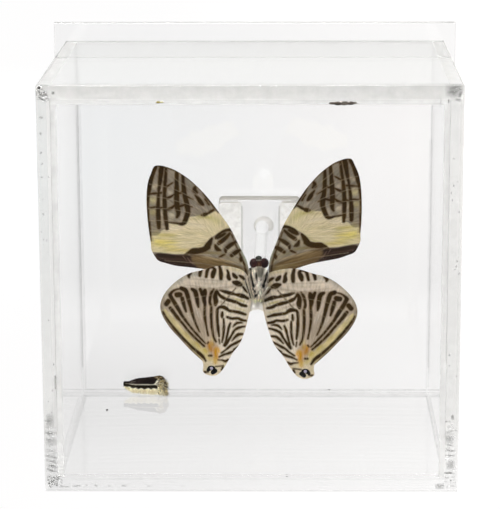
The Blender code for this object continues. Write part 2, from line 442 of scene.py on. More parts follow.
# %% [markdown]
# ## The case
# Sheets that are cemented well become one body of acrylic: no light turns back at the joint. So
# the five sheets and the plate are made as one piece here. The outside starts as the plate, cut
# where the box meets it, and the box is extruded out of it. The inside is a second cube, whose
# edges are rounded, because cement creeps out of each joint and sets as a small fillet.

# %% Outside of the case
case = cube("acrylic_case", plate_low, plate_high)
for place, normal in (((-SIDE, 0, 0), (1, 0, 0)), ((SIDE, 0, 0), (1, 0, 0)),
                      ((0, 0, TOP), (0, 0, 1))):
    cut_across(case, place, normal)
in_edit(case, "FACE", lambda face: face.normal.y < -0.5
        and abs(face.calc_center_median().x) < SIDE and face.calc_center_median().z < TOP)
bpy.ops.mesh.extrude_region_move(TRANSFORM_OT_translate={"value": (0, FRONT - PLATE, 0)})
out_of_edit()
# Every outer edge is eased, but for the lid's two side edges, which were flamed flush.
bevel(case, lambda edge: len(edge.link_faces) == 2 and edge.is_convex
      and edge.calc_face_angle() > 1
      and not (run_back(edge) > SHEET * 2 and abs(edge.verts[0].co.z - TOP) < MM), 0.07 * MM, 2)
print("outside of the case:", len(case.data.polygons), "faces")

# %% Inside of the case
FILLET = 1.5 * MM
CUT_STEP = 2.6 * MM
inner_low = Vector((-INNER, FRONT + SHEET, SHEET))
inner_high = Vector((INNER, PLATE, TOP - SHEET))
inside = cube("inside", inner_low, inner_high)
bevel(inside, lambda edge: all(v.co.y < 0 for v in edge.verts), FILLET, 16)
for axis, normal in ((0, Vector((1, 0, 0))), (2, Vector((0, 0, 1)))):
    low, high = inner_low[axis], inner_high[axis]
    steps = int((high - low) / CUT_STEP)
    for step in range(1, steps):
        cut_across(inside, normal * (low + (high - low) * step / steps), normal)

# Cement never runs evenly: the fillet is drawn wider and narrower along each joint.
for vertex in inside.data.vertices:
    for axis in (0, 2):
        for wall in (inner_low[axis], inner_high[axis]):
            out, back = abs(vertex.co[axis] - wall), vertex.co.y - inner_low.y
            if out < FILLET * 1.01 and back < FILLET * 1.01:
                swell = 1 + 0.14 * noise.noise(vertex.co * 200) \
                    + 0.05 * noise.noise(vertex.co * 700)
                vertex.co[axis] = wall + (vertex.co[axis] - wall) * swell
                vertex.co.y = inner_low.y + back * swell
flip(inside)
print("inside of the case:", len(inside.data.polygons), "faces")

# %% [markdown]
# ## Flaws in the joints
# Where the cement didn't reach, air stays between the sheets. The bottom corners have grey
# crazed patches, the top corners are bruised, and single bubbles sit all along the joints. Air
# in acrylic is a hollow, so each flaw is a small lump whose faces look inwards.


# %% Air in the joints
def hollow(shape, place, size, tilt, seed, detail=2):
    """One lump of trapped air, uneven like a squeezed bubble."""
    turn = Matrix.Rotation(tilt[2], 4, "Z") @ Matrix.Rotation(tilt[1], 4, "Y") \
        @ Matrix.Rotation(tilt[0], 4, "X")
    made = bmesh.ops.create_icosphere(shape, subdivisions=detail, radius=0.5)
    for vertex in made["verts"]:
        rough = 1 + 0.5 * noise.noise(vertex.co * 3 + Vector((seed * 7.3, seed * 1.7, 0)))
        local = Vector([c * s * rough for c, s in zip(vertex.co, size)])
        vertex.co = turn @ local + Vector(place)
    faces = {face for vertex in made["verts"] for face in vertex.link_faces}
    bmesh.ops.reverse_faces(shape, faces=list(faces))


def patch(shape, dice, low, high, count, size, flat):
    """Many small hollows between two corners, lying mostly across the sheet."""
    for _ in range(count):
        place = [dice.uniform(a, b) for a, b in zip(low, high)]
        long, short = dice.uniform(*size) * MM, dice.uniform(*size) * MM * 0.5
        tilt = [dice.gauss(0, 0.35), dice.gauss(0, 0.25), dice.gauss(0, 0.3)]
        hollow(shape, place, (long, flat * MM, short), tilt, dice.random())


dice = random.Random(5)
flaws = bmesh.new()
JOINT = FRONT + SHEET
for side in (-1, 1):
    strip = sorted((side * (INNER + 0.5 * MM), side * (SIDE - 0.55 * MM)))
    near = (strip[0], JOINT - 0.3 * MM, 0.8 * MM)
    patch(flaws, dice, near, (strip[1], JOINT + 0.35 * MM, 19 * MM), 42, (0.5, 1.7), 0.14)
    top = (strip[0], JOINT - 0.5 * MM, TOP - 3.4 * MM)
    patch(flaws, dice, top, (strip[1], JOINT + 0.6 * MM, TOP - 0.6 * MM), 16, (0.4, 1.3), 0.2)
    for _ in range(14):
        hollow(flaws, (side * dice.uniform(INNER + 0.3 * MM, SIDE - 0.3 * MM), JOINT,
                       dice.uniform(20 * MM, TOP - 5 * MM)),
               [dice.uniform(0.2, 0.6) * MM, 0.12 * MM, dice.uniform(0.2, 0.8) * MM],
               (0, 0, dice.uniform(-0.3, 0.3)), dice.random())
for _ in range(34):
    hollow(flaws, (dice.uniform(-INNER, -5 * MM), JOINT, dice.uniform(0.5, 2.6) * MM),
           [dice.uniform(0.3, 1.1) * MM, 0.14 * MM, dice.uniform(0.2, 0.5) * MM],
           (0, 0, 0), dice.random())
for _ in range(40):
    hollow(flaws, (dice.uniform(-INNER, INNER), PLATE, SHEET - dice.uniform(0.2, 1.2) * MM),
           [dice.uniform(0.4, 1.6) * MM, 0.1 * MM, dice.uniform(0.15, 0.3) * MM],
           (0, 0, 0), dice.random())
# A break runs across the bruised top left corner.
patch(flaws, dice, (-SIDE + 0.5 * MM, JOINT - 2.6 * MM, TOP - 4.4 * MM),
      (-SIDE + 3.4 * MM, JOINT, TOP - 0.8 * MM), 10, (0.8, 2.2), 0.12)
join(case, inside, piece_from_bmesh("flaws", flaws))
dress(case, acrylic, slot="case_acrylic",
      replaces=("front_panel", "left_wall", "right_wall", "top_wall", "bottom_wall", "back_plate"))

# %% [markdown]
# ## Dull joints
# The front sheet is cemented onto the sawn edges of the four walls. A sawn edge stays a little
# dull under the cement, so each edge reads as a grey band, and where the cement failed it is
# duller still. Thin slabs lie in the joint plane. They let light straight through and scatter
# only a part of it, by an amount that each slab carries as its own number. Clear sheet also
# carries light along to its joints, so the palest slabs glow a little: the glow is painted light.
# A few slabs stand for no joint at all. Pale glowing ones over the fillets and the side walls'
# top edges are painted light, and grey ones at the tape strips' inner edges are painted shade.

# %% Cement in the joints
cement, shader = new_material("dull cement and painted light", "#A9A9A6", Roughness=1.0, Specular_IOR_Level=0.0,
                              Emission_Color=(1, 1, 0.985, 1))
pale = stored(cement, "pale")
link(cement, blend(cement, pale, "#A9A9A6", "#F2F1EF"), shader, "Base Color")
cloud = cloudy(cement, in_object(cement), 420, 5, 0.6)
uneven = ramp(cement, cloud, 0.3, 0.7, 0.6, 1.4)
evened = add_node(cement, "ShaderNodeMix", {"data_type": "FLOAT", 0: pale, 2: uneven, 3: 1.0})
cover = reckon(cement, "MULTIPLY", evened.outputs[0], stored(cement, "dull"), clamp=True)
link(cement, cover, shader, "Alpha")
# The glow is painted light, and the paler a slab is, the more it glows.
link(cement, reckon(cement, "MULTIPLY", pale, 0.22), shader, "Emission Strength")

joint = bmesh.new()
joint_dull = joint.verts.layers.float.new("dull")
joint_pale_and_glow = joint.verts.layers.float.new("pale")


def slab(place, size, tilt, dullness, corners=24):
    """A thin rounded slab, duller in its middle, in the joint plane."""
    made = bmesh.ops.create_cone(joint, cap_ends=True, cap_tris=True, segments=corners,
                                 radius1=0.5, radius2=0.5, depth=1)
    spin = Matrix.Rotation(math.radians(tilt), 4, "Y")
    for vertex in made["verts"]:
        x, z, y = vertex.co
        reach = math.hypot(x, z)
        squarish = 1
        if reach > 0.1:
            squarish = 1 + 0.6 * (1 / max(max(abs(x), abs(z)) / reach, 0.7) - 1)
        vertex[joint_dull] = dullness * (0.25 if reach > 0.1 else 1.5)
        local = Vector((x * size[0] * squarish, y * 0.02, z * size[1] * squarish)) * MM
        vertex.co = spin @ local + Vector(place)


def bar(low, high, dullness, pale=0.0):
    """A long straight slab."""
    made = bmesh.ops.create_cube(joint, size=1)
    low, high = Vector(low), Vector(high)
    for vertex in made["verts"]:
        vertex.co = (low + high) / 2 + Vector(c * d for c, d in zip(vertex.co, high - low))
        vertex[joint_dull] = dullness
        vertex[joint_pale_and_glow] = pale


BACK = JOINT - 0.02 * MM
edge = 0.1 * MM
bar((-SIDE + edge, BACK, edge), (-INNER, JOINT, TOP - SHEET), 0.04)
bar((INNER, BACK, edge), (SIDE - edge, JOINT, TOP - SHEET), 0.06)
bar((-SIDE + edge, BACK, TOP - SHEET - 0.75 * MM), (SIDE - edge, JOINT, TOP - edge), 0.5, 0.77)
bar((-INNER, BACK, TOP - SHEET - 1.9 * MM), (INNER, JOINT, TOP - SHEET - 0.75 * MM), 0.4, 0.76)
bar((-INNER, BACK, edge), (INNER, JOINT, SHEET), 0.02)
bar((-INNER, BACK - 0.03 * MM, 2.4 * MM), (INNER, BACK, 4.1 * MM), 0.04)
for side in (-1, 1):
    # Pale glowing slabs over the fillets beside the side walls and over the side walls' top edges
    # under the lid are painted light: they even out the dark lines that these edges bend into view.
    near, far = sorted((side * INNER, side * (INNER - 1.7 * MM)))
    bar((near, BACK, SHEET), (far, JOINT, TOP - SHEET - 1.9 * MM), 0.35, 0.75)
    near, far = sorted((side * INNER, side * (SIDE - edge)))
    bar((near, JOINT, TOP - SHEET), (far, PLATE - edge, TOP - SHEET + 0.02 * MM), 0.85, 0.76)
# The scuffed lower rim of the front sheet, and the joint of the lid and the plate.
bar((-SIDE + edge, FRONT + edge, 0.15 * MM),
    (SIDE - edge, FRONT + edge + 0.02 * MM, 0.6 * MM), 0.07)
bar((-SIDE + edge, PLATE - 0.03 * MM, TOP - 2.8 * MM), (SIDE - edge, PLATE, TOP), 0.65, 0.6)
bar((plate_low.x + edge, PLATE + edge, plate_high.z - 0.05 * MM),
    (plate_high.x - edge, plate_high.y - edge, plate_high.z - 0.03 * MM), 0.4, 0.85)

# Grey slabs at the inner edges of the two tape strips behind the block are painted shade from the
# block.
for name, end in (("left_tape_strip", 1), ("right_tape_strip", 0)):
    low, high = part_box(name)
    x = high.x + 0.6 * MM if end else low.x
    bar((x - 0.5 * MM * end, block_high.y + 0.008 * MM, low.z),
        (x + 0.5 * MM * (1 - end), block_high.y + 0.022 * MM, high.z - 0.9 * MM), 0.15)
# Cement has crept along the plate's foot and over the floor, and along the side walls' feet.
inner = INNER - 0.1 * MM
foot = SHEET + 0.02 * MM
bar((-inner, PLATE - 0.06 * MM, 3.45 * MM), (inner, PLATE - 0.04 * MM, 4.05 * MM), 0.1)
bar((-inner, depth(76.2), foot), (inner, depth(81.9), foot + 0.02 * MM), 0.05)
bar((-inner, depth(76.2), foot + 0.03 * MM), (inner, depth(78), foot + 0.05 * MM), 0.03)
for side, wide, dullness in ((-1, 1.3, 0.06), (1, 0.7, 0.1)):
    near, far = sorted((side * (INNER - 0.05 * MM), side * (INNER - wide * MM)))
    bar((near, depth(5), foot), (far, depth(76), foot + 0.02 * MM), dullness)
bar((-INNER + 0.05 * MM, PLATE - 0.06 * MM, 4.2 * MM),
    (-INNER + 0.8 * MM, PLATE - 0.04 * MM, TOP - SHEET), 0.05)
bar((INNER - 0.5 * MM, PLATE - 0.06 * MM, 4.2 * MM),
    (INNER - 0.05 * MM, PLATE - 0.04 * MM, 79 * MM), 0.05)
# x, z, width, height, tilt in degrees, dullness: read off the bottom corners, the left joint with
# its dark dash, and the top corners
for x, z, wide, high, tilt, dullness in (
        (-52.6, 18.6, 2.4, 4.2, 0, .24), (-52.4, 15.35, 3.2, .95, 4, .4),
        (-52.4, 13, 3.1, 2.4, 0, .3), (-52.4, 10.4, 3.2, 1.3, 5, .2),
        (-52.4, 8.9, 3.3, .8, 12, .36), (-52.4, 7.6, 3.3, .6, 15, .32),
        (-52.3, 6.3, 3.3, .8, 15, .36), (-52.3, 5.1, 3.3, .6, 18, .32),
        (-52.2, 2.6, 3.0, 3.4, 0, .14), (-52.3, 7.2, 3.1, 5.6, 0, .14),
        (-50.95, 29.2, .38, 3.9, 0, 1.3),
        (52.6, 19.9, .8, 1.5, 0, .35), (50.9, 18.7, .6, .4, 0, .4), (51.9, 14.2, 2.6, 3, 0, .24),
        (51.9, 15.9, 2.4, .4, -20, .4), (52, 10.7, 2.7, .5, 0, .48), (52, 9.4, 2.7, .5, 0, .42),
        (52, 12.2, 2.4, .35, 10, .4), (52.2, 6.8, 2.4, 2.6, 0, .28), (51.8, 4.6, 2.7, .6, 0, .55),
        (49.5, .9, 2.6, 1.7, 0, .3), (-49, .6, 3, .5, 0, .35), (-46, .8, 2.4, .5, 0, .3),
        (-43.4, 1.0, .8, .6, 0, .3), (-40.8, .9, 1.0, .5, 10, .3), (-37.2, .8, 1.1, .4, 0, .3),
        (-33.5, .9, 1.6, .5, 0, .3), (-27, .8, .9, .4, 0, .25), (-18, .8, 1.3, .4, 0, .22),
        (-53.0, 99.1, 1.0, .6, 15, .3), (-53.2, 94.9, .6, .9, 0, .28), (-53.2, 90, .5, .8, 20, .3),
        (-53.0, 87.1, .8, .5, -10, .28), (-53.2, 83.6, .6, .5, 0, .22), (-53, 74, .5, .7, 0, .16),
        (-52.5, 103.7, 2.2, .5, 30, .4), (-52.9, 105.2, .4, 3.2, -38, .35),
        (-49.8, 105.4, .9, .9, 0, .3), (-51.5, 104.9, 1.0, .5, 40, .2),
        (51.4, 105.8, 4.6, 3.4, 0, .2), (51.9, 106.7, 3.2, .8, -12, .24),
        (51.2, 105.6, 3.2, .7, -8, .2), (53.1, 105, .9, 1.8, 20, .28),
        (52.6, 103.5, 1.7, .9, 10, .2), (50.2, 103.2, .5, 1.4, 0, .25),
        (48.2, 102.9, .2, 2.6, 0, .2)):
    slab((x * MM, JOINT - 0.06 * MM, z * MM), (wide, high), tilt, dullness)
# The two bottom corners are crazed all over.
for side, count in ((-1, 60), (1, 14)):
    for _ in range(count):
        slab((side * dice.uniform(49.8, 53.5) * MM, JOINT - 0.06 * MM, dice.uniform(0.5, 3.5) * MM),
             (dice.uniform(0.25, 0.8), dice.uniform(0.2, 0.45)), dice.uniform(-45, 45),
             dice.uniform(0.2, 0.8), 12)
dress(piece_from_bmesh("joint_cement_and_painted_light", joint), cement, slot="case_acrylic")

# %% [markdown]
# ## What holds the butterfly
# A square block is taped to the plate, and a clear rod is cemented to it. The cement has drawn up
# round the rod's foot, which is the arch that the photo shows.

# %% Block and rod
block = cube("block_and_rod", block_low, block_high)
round_block(block, 1.1 * MM, 5, 0.25 * MM)
rod_x = (rod_low.x + rod_high.x) / 2
rod_z = (rod_low.z + rod_high.z) / 2
ROD_RADIUS = 1.5 * MM
FOOT_RADIUS = (rod_high.x - rod_low.x) / 2
FOOT_LENGTH = 1.6 * MM
rod_tip = rod_low.y - 0.35 * MM
rod_back = block_low.y + 0.6 * MM
rod = primitive("rod", bpy.ops.mesh.primitive_cylinder_add, vertices=64, radius=ROD_RADIUS,
                depth=rod_back - rod_tip)
rod.rotation_euler = (math.pi / 2, 0, 0)
rod.location = (rod_x, (rod_back + rod_tip) / 2, rod_z)
place_applied(rod)
for ring in (0.0, 0.3, 0.55, 0.75, 0.88, 0.96, 1.0):
    cut_across(rod, (0, block_low.y - FOOT_LENGTH * ring, 0), (0, 1, 0))
for vertex in rod.data.vertices:
    out = (block_low.y - vertex.co.y) / FOOT_LENGTH
    if out < 1:
        swell = math.sqrt(max(0, 1 - max(out, 0) ** 2))
        # The cement has run further to the right than to the left.
        aside = (vertex.co.x - rod_x) / ROD_RADIUS
        wander = 1 + 0.12 * noise.noise(vertex.co * 700) + 0.5 * aside
        radius = ROD_RADIUS + (FOOT_RADIUS - ROD_RADIUS) * swell * wander
        vertex.co.x = rod_x + (vertex.co.x - rod_x) * radius / ROD_RADIUS
        vertex.co.z = rod_z + (vertex.co.z - rod_z) * radius / ROD_RADIUS
apply_modifier(block, "BOOLEAN", operation="UNION", solver="EXACT", object=rod)
bpy.data.objects.remove(rod, do_unlink=True)
smooth(block, 24)
# The block was sawn out of sheet and its edges were never polished, so they are dull.
sawn, shader = new_material("sawn acrylic edge", "#DDD8CD", Roughness=0.6, IOR=ACRYLIC_IOR,
                            Transmission_Weight=0.45)
# The rod was drawn, not cast. It is faintly milky, and its two sides are greyed with painted
# shade. A small glow stands for the light that it carries along, and is painted light.
milky, shader = new_material("milky drawn rod", "#FAFAF8", Roughness=0.5, IOR=ACRYLIC_IOR,
                             Alpha=0.2, Specular_IOR_Level=0.2,
                             Emission_Color=(1, 1, 0.99, 1), Emission_Strength=0.36)
painted_side_shade = soft_ramp(milky, stored(milky, "off_middle"), 0.55, 0.95)
tone = blend(milky, painted_side_shade, (0.96, 0.96, 0.95, 1), (0.45, 0.45, 0.44, 1))
link(milky, tone, shader, "Base Color")
# The cement's faint glow is painted light.
drawn_up, shader = new_material("drawn-up cement", "#E6E3DC", Roughness=0.5, IOR=ACRYLIC_IOR,
                                Transmission_Weight=0.58, Emission_Color=(1, 1, 0.98, 1),
                                Emission_Strength=0.04)
off_middle = np.abs(vertex_places(block)[:, 0] - rod_x) / ROD_RADIUS
keep_values(block, "off_middle", np.minimum(off_middle, 1))
dress(block, acrylic, sawn, milky, drawn_up, slot="case_acrylic",
      replaces=("mounting_block", "support_rod"))
foot_end = block_low.y - 1.01 * FOOT_LENGTH
give_material(block, 1, lambda face: abs(face.normal.y) < 0.3
              and face.calc_center_median().y > block_low.y + 0.02 * MM)
give_material(block, 2, lambda face: face.calc_center_median().y < foot_end)
# The drawn-up cement has dried a little dull, which draws the arch.
give_material(block, 3, lambda face: face.calc_center_median().z > rod_z - 0.4 * FOOT_RADIUS
              and foot_end < face.calc_center_median().y < block_low.y - 0.02 * MM)

# %% Glue
# A pale drop of glue joins the rod to the thorax. The rod carries light to it from behind, which
# an even glow stands for.
glue_matter, shader = new_material("set glue", "#F4F2EC", Roughness=0.35,
                                   Emission_Color=(1, 1, 0.98, 1), Emission_Strength=0.75)
glue = primitive("glue_drop", bpy.ops.mesh.primitive_uv_sphere_add, segments=24, ring_count=12,
                 radius=1)
glue.scale = (1.75 * MM, 0.62 * MM, 1.7 * MM)
glue.location = (rod_x, rod_tip - 0.5 * MM, rod_z)
place_applied(glue)
bpy.ops.object.shade_smooth()
dress(glue, glue_matter, slot="foam_tape")

# %% [markdown]
# ## Tape
# Two strips of clear foam tape hold the block. Foam tape is soft and full of fine air, which
# makes it whitish, and it doesn't wet the plate everywhere, so it looks mottled.

# %% Tape strips
tape_foam, shader = new_material("clear foam tape", "#EFEEEB", Roughness=0.4, IOR=1.2,
                                 Transmission_Weight=0.55, Emission_Color=(1, 0.99, 0.97, 1))
mottle = cloudy(tape_foam, in_object(tape_foam), 800, 5)
bump(tape_foam, shader, mottle, 0.5, 0.0002)
# The foam's cells pass on light from behind, which a mottled glow stands for.
link(tape_foam, ramp(tape_foam, mottle, 0.3, 0.7, 0.15, 0.42), shader, "Emission Strength")
for name in ("left_tape_strip", "right_tape_strip"):
    low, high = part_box(name)
    # The left strip has been squeezed a little wider.
    squeezed = 0.6 * MM if name == "left_tape_strip" else 0
    strip = cube(name.replace("tape_strip", "foam_tape"), (low.x, block_high.y + 0.03 * MM, low.z),
                 (high.x + squeezed, PLATE - 0.03 * MM, high.z))
    round_block(strip, 1.4 * MM, 6, 0.18 * MM)
    dress(strip, tape_foam, sawn, slot="foam_tape", replaces=(name,))
    give_material(strip, 1, lambda face: abs(face.normal.y) < 0.3)

# %% [markdown]
# ## The wings' shape
# A wing is a dry membrane, finer than paper, with raised veins. Each one is drawn flat first, in
# millimetres from its root: outwards is u and upwards is v. A fine grid is trimmed to the
# outline, its rim is pulled onto the outline, and then it is carried to its place on the body.

# %% Outlines
FOREWING = [
    (-0.35, -1.2), (-0.25, 0.6), (0.15, 2.7), (1.05, 5), (2.05, 7.5), (3, 10), (4.05, 12.2),
    (5.8, 15.2), (8.1, 19), (10.2, 21.9), (13, 25), (16, 27.4), (18.4, 28.6), (20.2, 29.05),
    (21.3, 28.75), (22.1, 27.2), (23.1, 24.8), (23.7, 21.5), (23.95, 16.5), (23.85, 12),
    (23.65, 9), (23.65, 7.2), (23, 5.5), (22.1, 4.1), (20.3, 3.3), (17.8, 2.4), (14.5, 1.75),
    (11, 1), (8.2, 0.1), (5, -1), (2, -1.9), (0.3, -2),
]
HINDWING = [
    (-0.7, -1.2), (0.1, 0.2), (1.5, 1), (4, 1.5), (6.6, 1.7), (9, 1.3), (12, 0.35),
    (15.2, -0.5), (18.4, -2.3), (21.2, -4.8), (23, -7.4), (23.6, -10.2), (22.65, -12.95),
    (20.8, -15.75), (18.7, -18.05), (16.1, -20.9), (13.75, -23.1), (12.4, -24.4), (12.2, -25.9),
    (12.35, -27.1), (11.4, -27.95), (9.5, -28.3), (7.7, -27.5), (5.9, -25.2), (4, -22),
    (2, -19.4), (0.6, -16.2), (-0.4, -12.8), (-1.15, -9.6), (-1.35, -7.6), (-1.3, -5),
    (-1.1, -3),
]
# name: outline, depth, side, root x and z, turn in degrees, width, height, lean
WINGS = {
    "right_forewing": ("fore", 14.9, 1, (4.9, 57.26), 0, 1, 1, 0),
    "left_forewing": ("fore", 14.9, -1, (-0.95, 56.56), -4, 1.045, 1.015, 0),
    "right_hindwing": ("hind", 14.2, 1, (4.3, 55.33), 0, 1, 1, 0),
    "left_hindwing": ("hind", 14.2, -1, (-1.6, 55.93), 1.5, 0.955, 1, 0.045),
}


def smooth_line(points, closed=False, steps=8):
    """A curve through every point, as an array, with its extra columns (widths) carried along."""
    points = np.array(points, float)
    count = len(points)
    spans = count if closed else count - 1
    line = []
    for i in range(spans):
        a, b, c, d = (points[k % count] if closed else points[min(max(k, 0), count - 1)]
                      for k in (i - 1, i, i + 1, i + 2))
        for t in np.arange(steps) / steps:
            line.append(0.5 * (2 * b + (c - a) * t + (2 * a - 5 * b + 4 * c - d) * t * t
                               + (3 * b - a - 3 * c + d) * t ** 3))
    if not closed:
        line.append(points[-1])
    return np.array(line)


def to_segments(points, line):
    """For every point: the distance to each segment of a line, and how far along it that is."""
    a, b = line[:-1, :2], line[1:, :2]
    run = b - a
    length = np.maximum((run ** 2).sum(1), 1e-12)
    gap = points[:, None, :] - a[None]
    along = np.clip((gap * run[None]).sum(2) / length[None], 0, 1)
    near = a[None] + along[..., None] * run[None]
    return np.linalg.norm(points[:, None, :] - near, axis=2), along, near


def inside_distance(points, outline):
    """Distance to a closed outline, positive inside it, and the nearest point on it."""
    line = np.vstack([outline, outline[:1]])[:, :2]
    far, _, near = to_segments(points, line)
    best = far.argmin(1)
    rows = np.arange(len(points))
    a, b = line[:-1], line[1:]
    crosses = (a[None, :, 1] > points[:, None, 1]) != (b[None, :, 1] > points[:, None, 1])
    rise = np.where(np.abs(b[:, 1] - a[:, 1]) < 1e-12, 1e-12, b[:, 1] - a[:, 1])
    meet = a[None, :, 0] + (points[:, None, 1] - a[None, :, 1]) / rise[None] \
        * (b[:, 0] - a[:, 0])[None]
    within = (crosses & (points[:, None, 0] < meet)).sum(1) % 2 == 1
    return np.where(within, far[rows, best], -far[rows, best]), near[rows, best]


outlines = {"fore": smooth_line(FOREWING, closed=True), "hind": smooth_line(HINDWING, closed=True)}
print("outline points:", {name: len(line) for name, line in outlines.items()})

# %% [markdown]
# ## The wings' pattern
# Scales colour a wing, and each stripe is a run of dark scales with a clean but slightly ragged
# edge. Every mark is drawn as a line of points (u, v, width). The grid keeps, at each vertex, the
# distance to the nearest mark's edge, and the material cuts that distance off sharply. So an edge
# stays crisp however near the camera comes, which painted vertices couldn't do.

# %% Marks of the forewing's underside
FORE_MARKS = [
    [(3.1, 10.6, .5), (3.9, 10.9, .75), (5.1, 10.7, .65), (6.2, 10.1, .6), (7.1, 9.3, .6),
     (7.35, 8.8, .3)],
    [(5.0, 10.0, .6), (6.0, 9.45, .85), (6.9, 8.95, .6)],
    [(3.8, 9.9, .5), (4.7, 9.0, .85), (5.6, 8.3, .95), (6.6, 7.65, .95)],
    [(2.2, 7.75, .5), (3.3, 7.15, .85), (4.3, 6.5, .95), (5.0, 5.9, .8), (5.15, 5.0, .4)],
    [(1.5, 5.4, .6), (2.5, 4.9, 1.05), (3.7, 4.1, .85)],
    [(1.35, 3.3, .7), (1.45, 2.85, .95), (1.5, 2.4, .5)],
    [(6.4, 5.7, .25), (7.1, 6.0, .9), (7.45, 6.5, .8), (7.6, 7.1, .35)],
    [(5.4, 4.5, .3), (6.0, 4.25, .5), (6.8, 3.9, .2)],
    [(8.25, 9.0, .35), (8.9, 8.1, 1.0), (9.5, 7.2, 1.4), (10.3, 6.4, 1.1), (11.6, 6.1, 1.1),
     (13.2, 6.0, 1.25), (14.4, 5.6, .8), (15.3, 5.2, .3)],
    [(9.2, 6.6, .7), (10.4, 5.9, .8), (12, 5.6, .8), (13.8, 5.3, .7)],
    [(7.2, 16.5, .3), (8.1, 16, .65), (8.9, 15.6, .6), (9.7, 15.35, .95), (10.4, 15.25, .4)],
    [(9.9, 18.0, .6), (10.4, 18.6, 1.15), (11.0, 19.7, .8), (11.7, 20.6, .25)],
    [(11.2, 21.3, .6), (11.7, 21.9, 1.1), (11.5, 22.7, .7)],
    [(6.1, 15.8, .5), (6.9, 17.1, .75), (7.9, 18.8, .85), (8.9, 20.2, .85), (9.7, 21.3, .3)],
    [(8.4, 17.9, .3), (9.3, 19.4, .35)],
    [(14.3, 26.0, .7), (14.35, 24.4, .85), (14.3, 22.4, 1.0), (14.15, 20.2, 1.05),
     (13.85, 18.2, 1.3), (13.75, 16.6, 1.25), (14.2, 15.1, 1.1), (14.8, 13.8, 1.1),
     (15.5, 13.35, .8), (17.0, 13.65, .35), (18.9, 14.0, .25)],
    [(15.7, 27, .8), (15.9, 25, .95), (16.1, 22.6, 1.1), (16.3, 20, 1.25), (16.3, 17.8, 1.25),
     (16.2, 16.2, 1.0), (16.6, 15.2, .5)],
    [(18.3, 28.1, .5), (18.5, 26.6, .7), (18.9, 24, .8), (19.2, 21.6, .85), (19.4, 18.8, 1.0),
     (19.45, 16.4, 1.0), (19.35, 14, .9), (19.3, 12.4, .75)],
    [(19.4, 28.8, 1.1), (19.7, 27, 1.2), (20.05, 25, .95), (20.5, 22.8, .65), (20.8, 20.8, .65),
     (21.1, 18.2, .9), (21.25, 15.6, 1.05), (21.3, 12.8, .9)],
    [(20.9, 28.7, .9), (21.8, 27.2, 1.2), (22.5, 25, 1.2), (23.0, 22.8, .9), (23.45, 20.4, .6),
     (23.7, 17, .45), (23.7, 14.4, .6), (23.6, 11.5, .4), (23.5, 9.5, .1)],
    [(0.4, -1.0, .25), (0.65, 1, .34), (1.25, 3.2, .3), (2.25, 6.1, .22), (3.3, 9.5, .2)],
    [(16.8, 21.2, .3), (18.0, 20.6, .5), (19.2, 20.2, .4)],
    [(16.6, 18.7, .3), (17.8, 17.7, .6), (19.2, 17.4, .4)],
    [(14.6, 21.7, .5), (15.9, 21.3, .4)], [(14.3, 18.4, .5), (16, 17.9, .5)],
    [(20.0, 21.9, .5), (22.8, 21.8, .35)], [(21.4, 18.3, .4), (23.2, 18.2, .3)],
    [(19.8, 18.0, .4), (20.8, 17.9, .4)], [(16.9, 24.3, .2), (18.5, 23.4, .45)],
    [(12.2, 19.6, .15), (13.6, 20.4, .4)], [(12.6, 17.6, .15), (13.8, 18.2, .4)],
    [(9.9, 21.6, .1), (13.1, 25.1, .12), (16.1, 27.4, .15), (20.2, 29, .25)],
]
FORE_VEINS = [
    [(0.4, 0.5), (2.6, 3.4), (5.4, 6.4), (7.7, 8.6), (9.2, 11.5), (9.9, 14.2), (10.5, 16.5)],
    [(9.0, 16.0), (11.5, 19), (14, 21), (17.5, 22.9), (19.6, 23.6), (22.8, 24.4)],
    [(10.5, 16.5), (13.5, 18.3), (16, 19.3), (18.5, 20.2), (20.6, 20.8), (23.6, 21.3)],
    [(10.2, 14.8), (12.8, 15.8), (15.5, 16.8), (18, 17.4), (20.5, 17.8), (23.8, 18.1)],
    [(9.9, 12.8), (13, 13.4), (17.5, 14.3), (20, 14.6), (23.7, 14.9)],
    [(9.0, 18.5), (11.5, 21.3), (13.6, 23.1), (16.2, 25.2), (18.4, 27.6)],
    [(9.6, 11.6), (14, 11.9), (19.6, 11.7), (23.7, 12.2)],
    [(8.8, 9.8), (14, 9.6), (19, 9.7), (23.6, 10.3)],
    [(9.6, 8.2), (14, 8.0), (19, 8.2), (23.5, 8.9)],
    [(2.5, 1.6), (8, 4.2), (14, 5.2), (22.7, 6.3)], [(0.8, 0), (6, 1.1), (12, 2.6), (20.6, 4)],
]

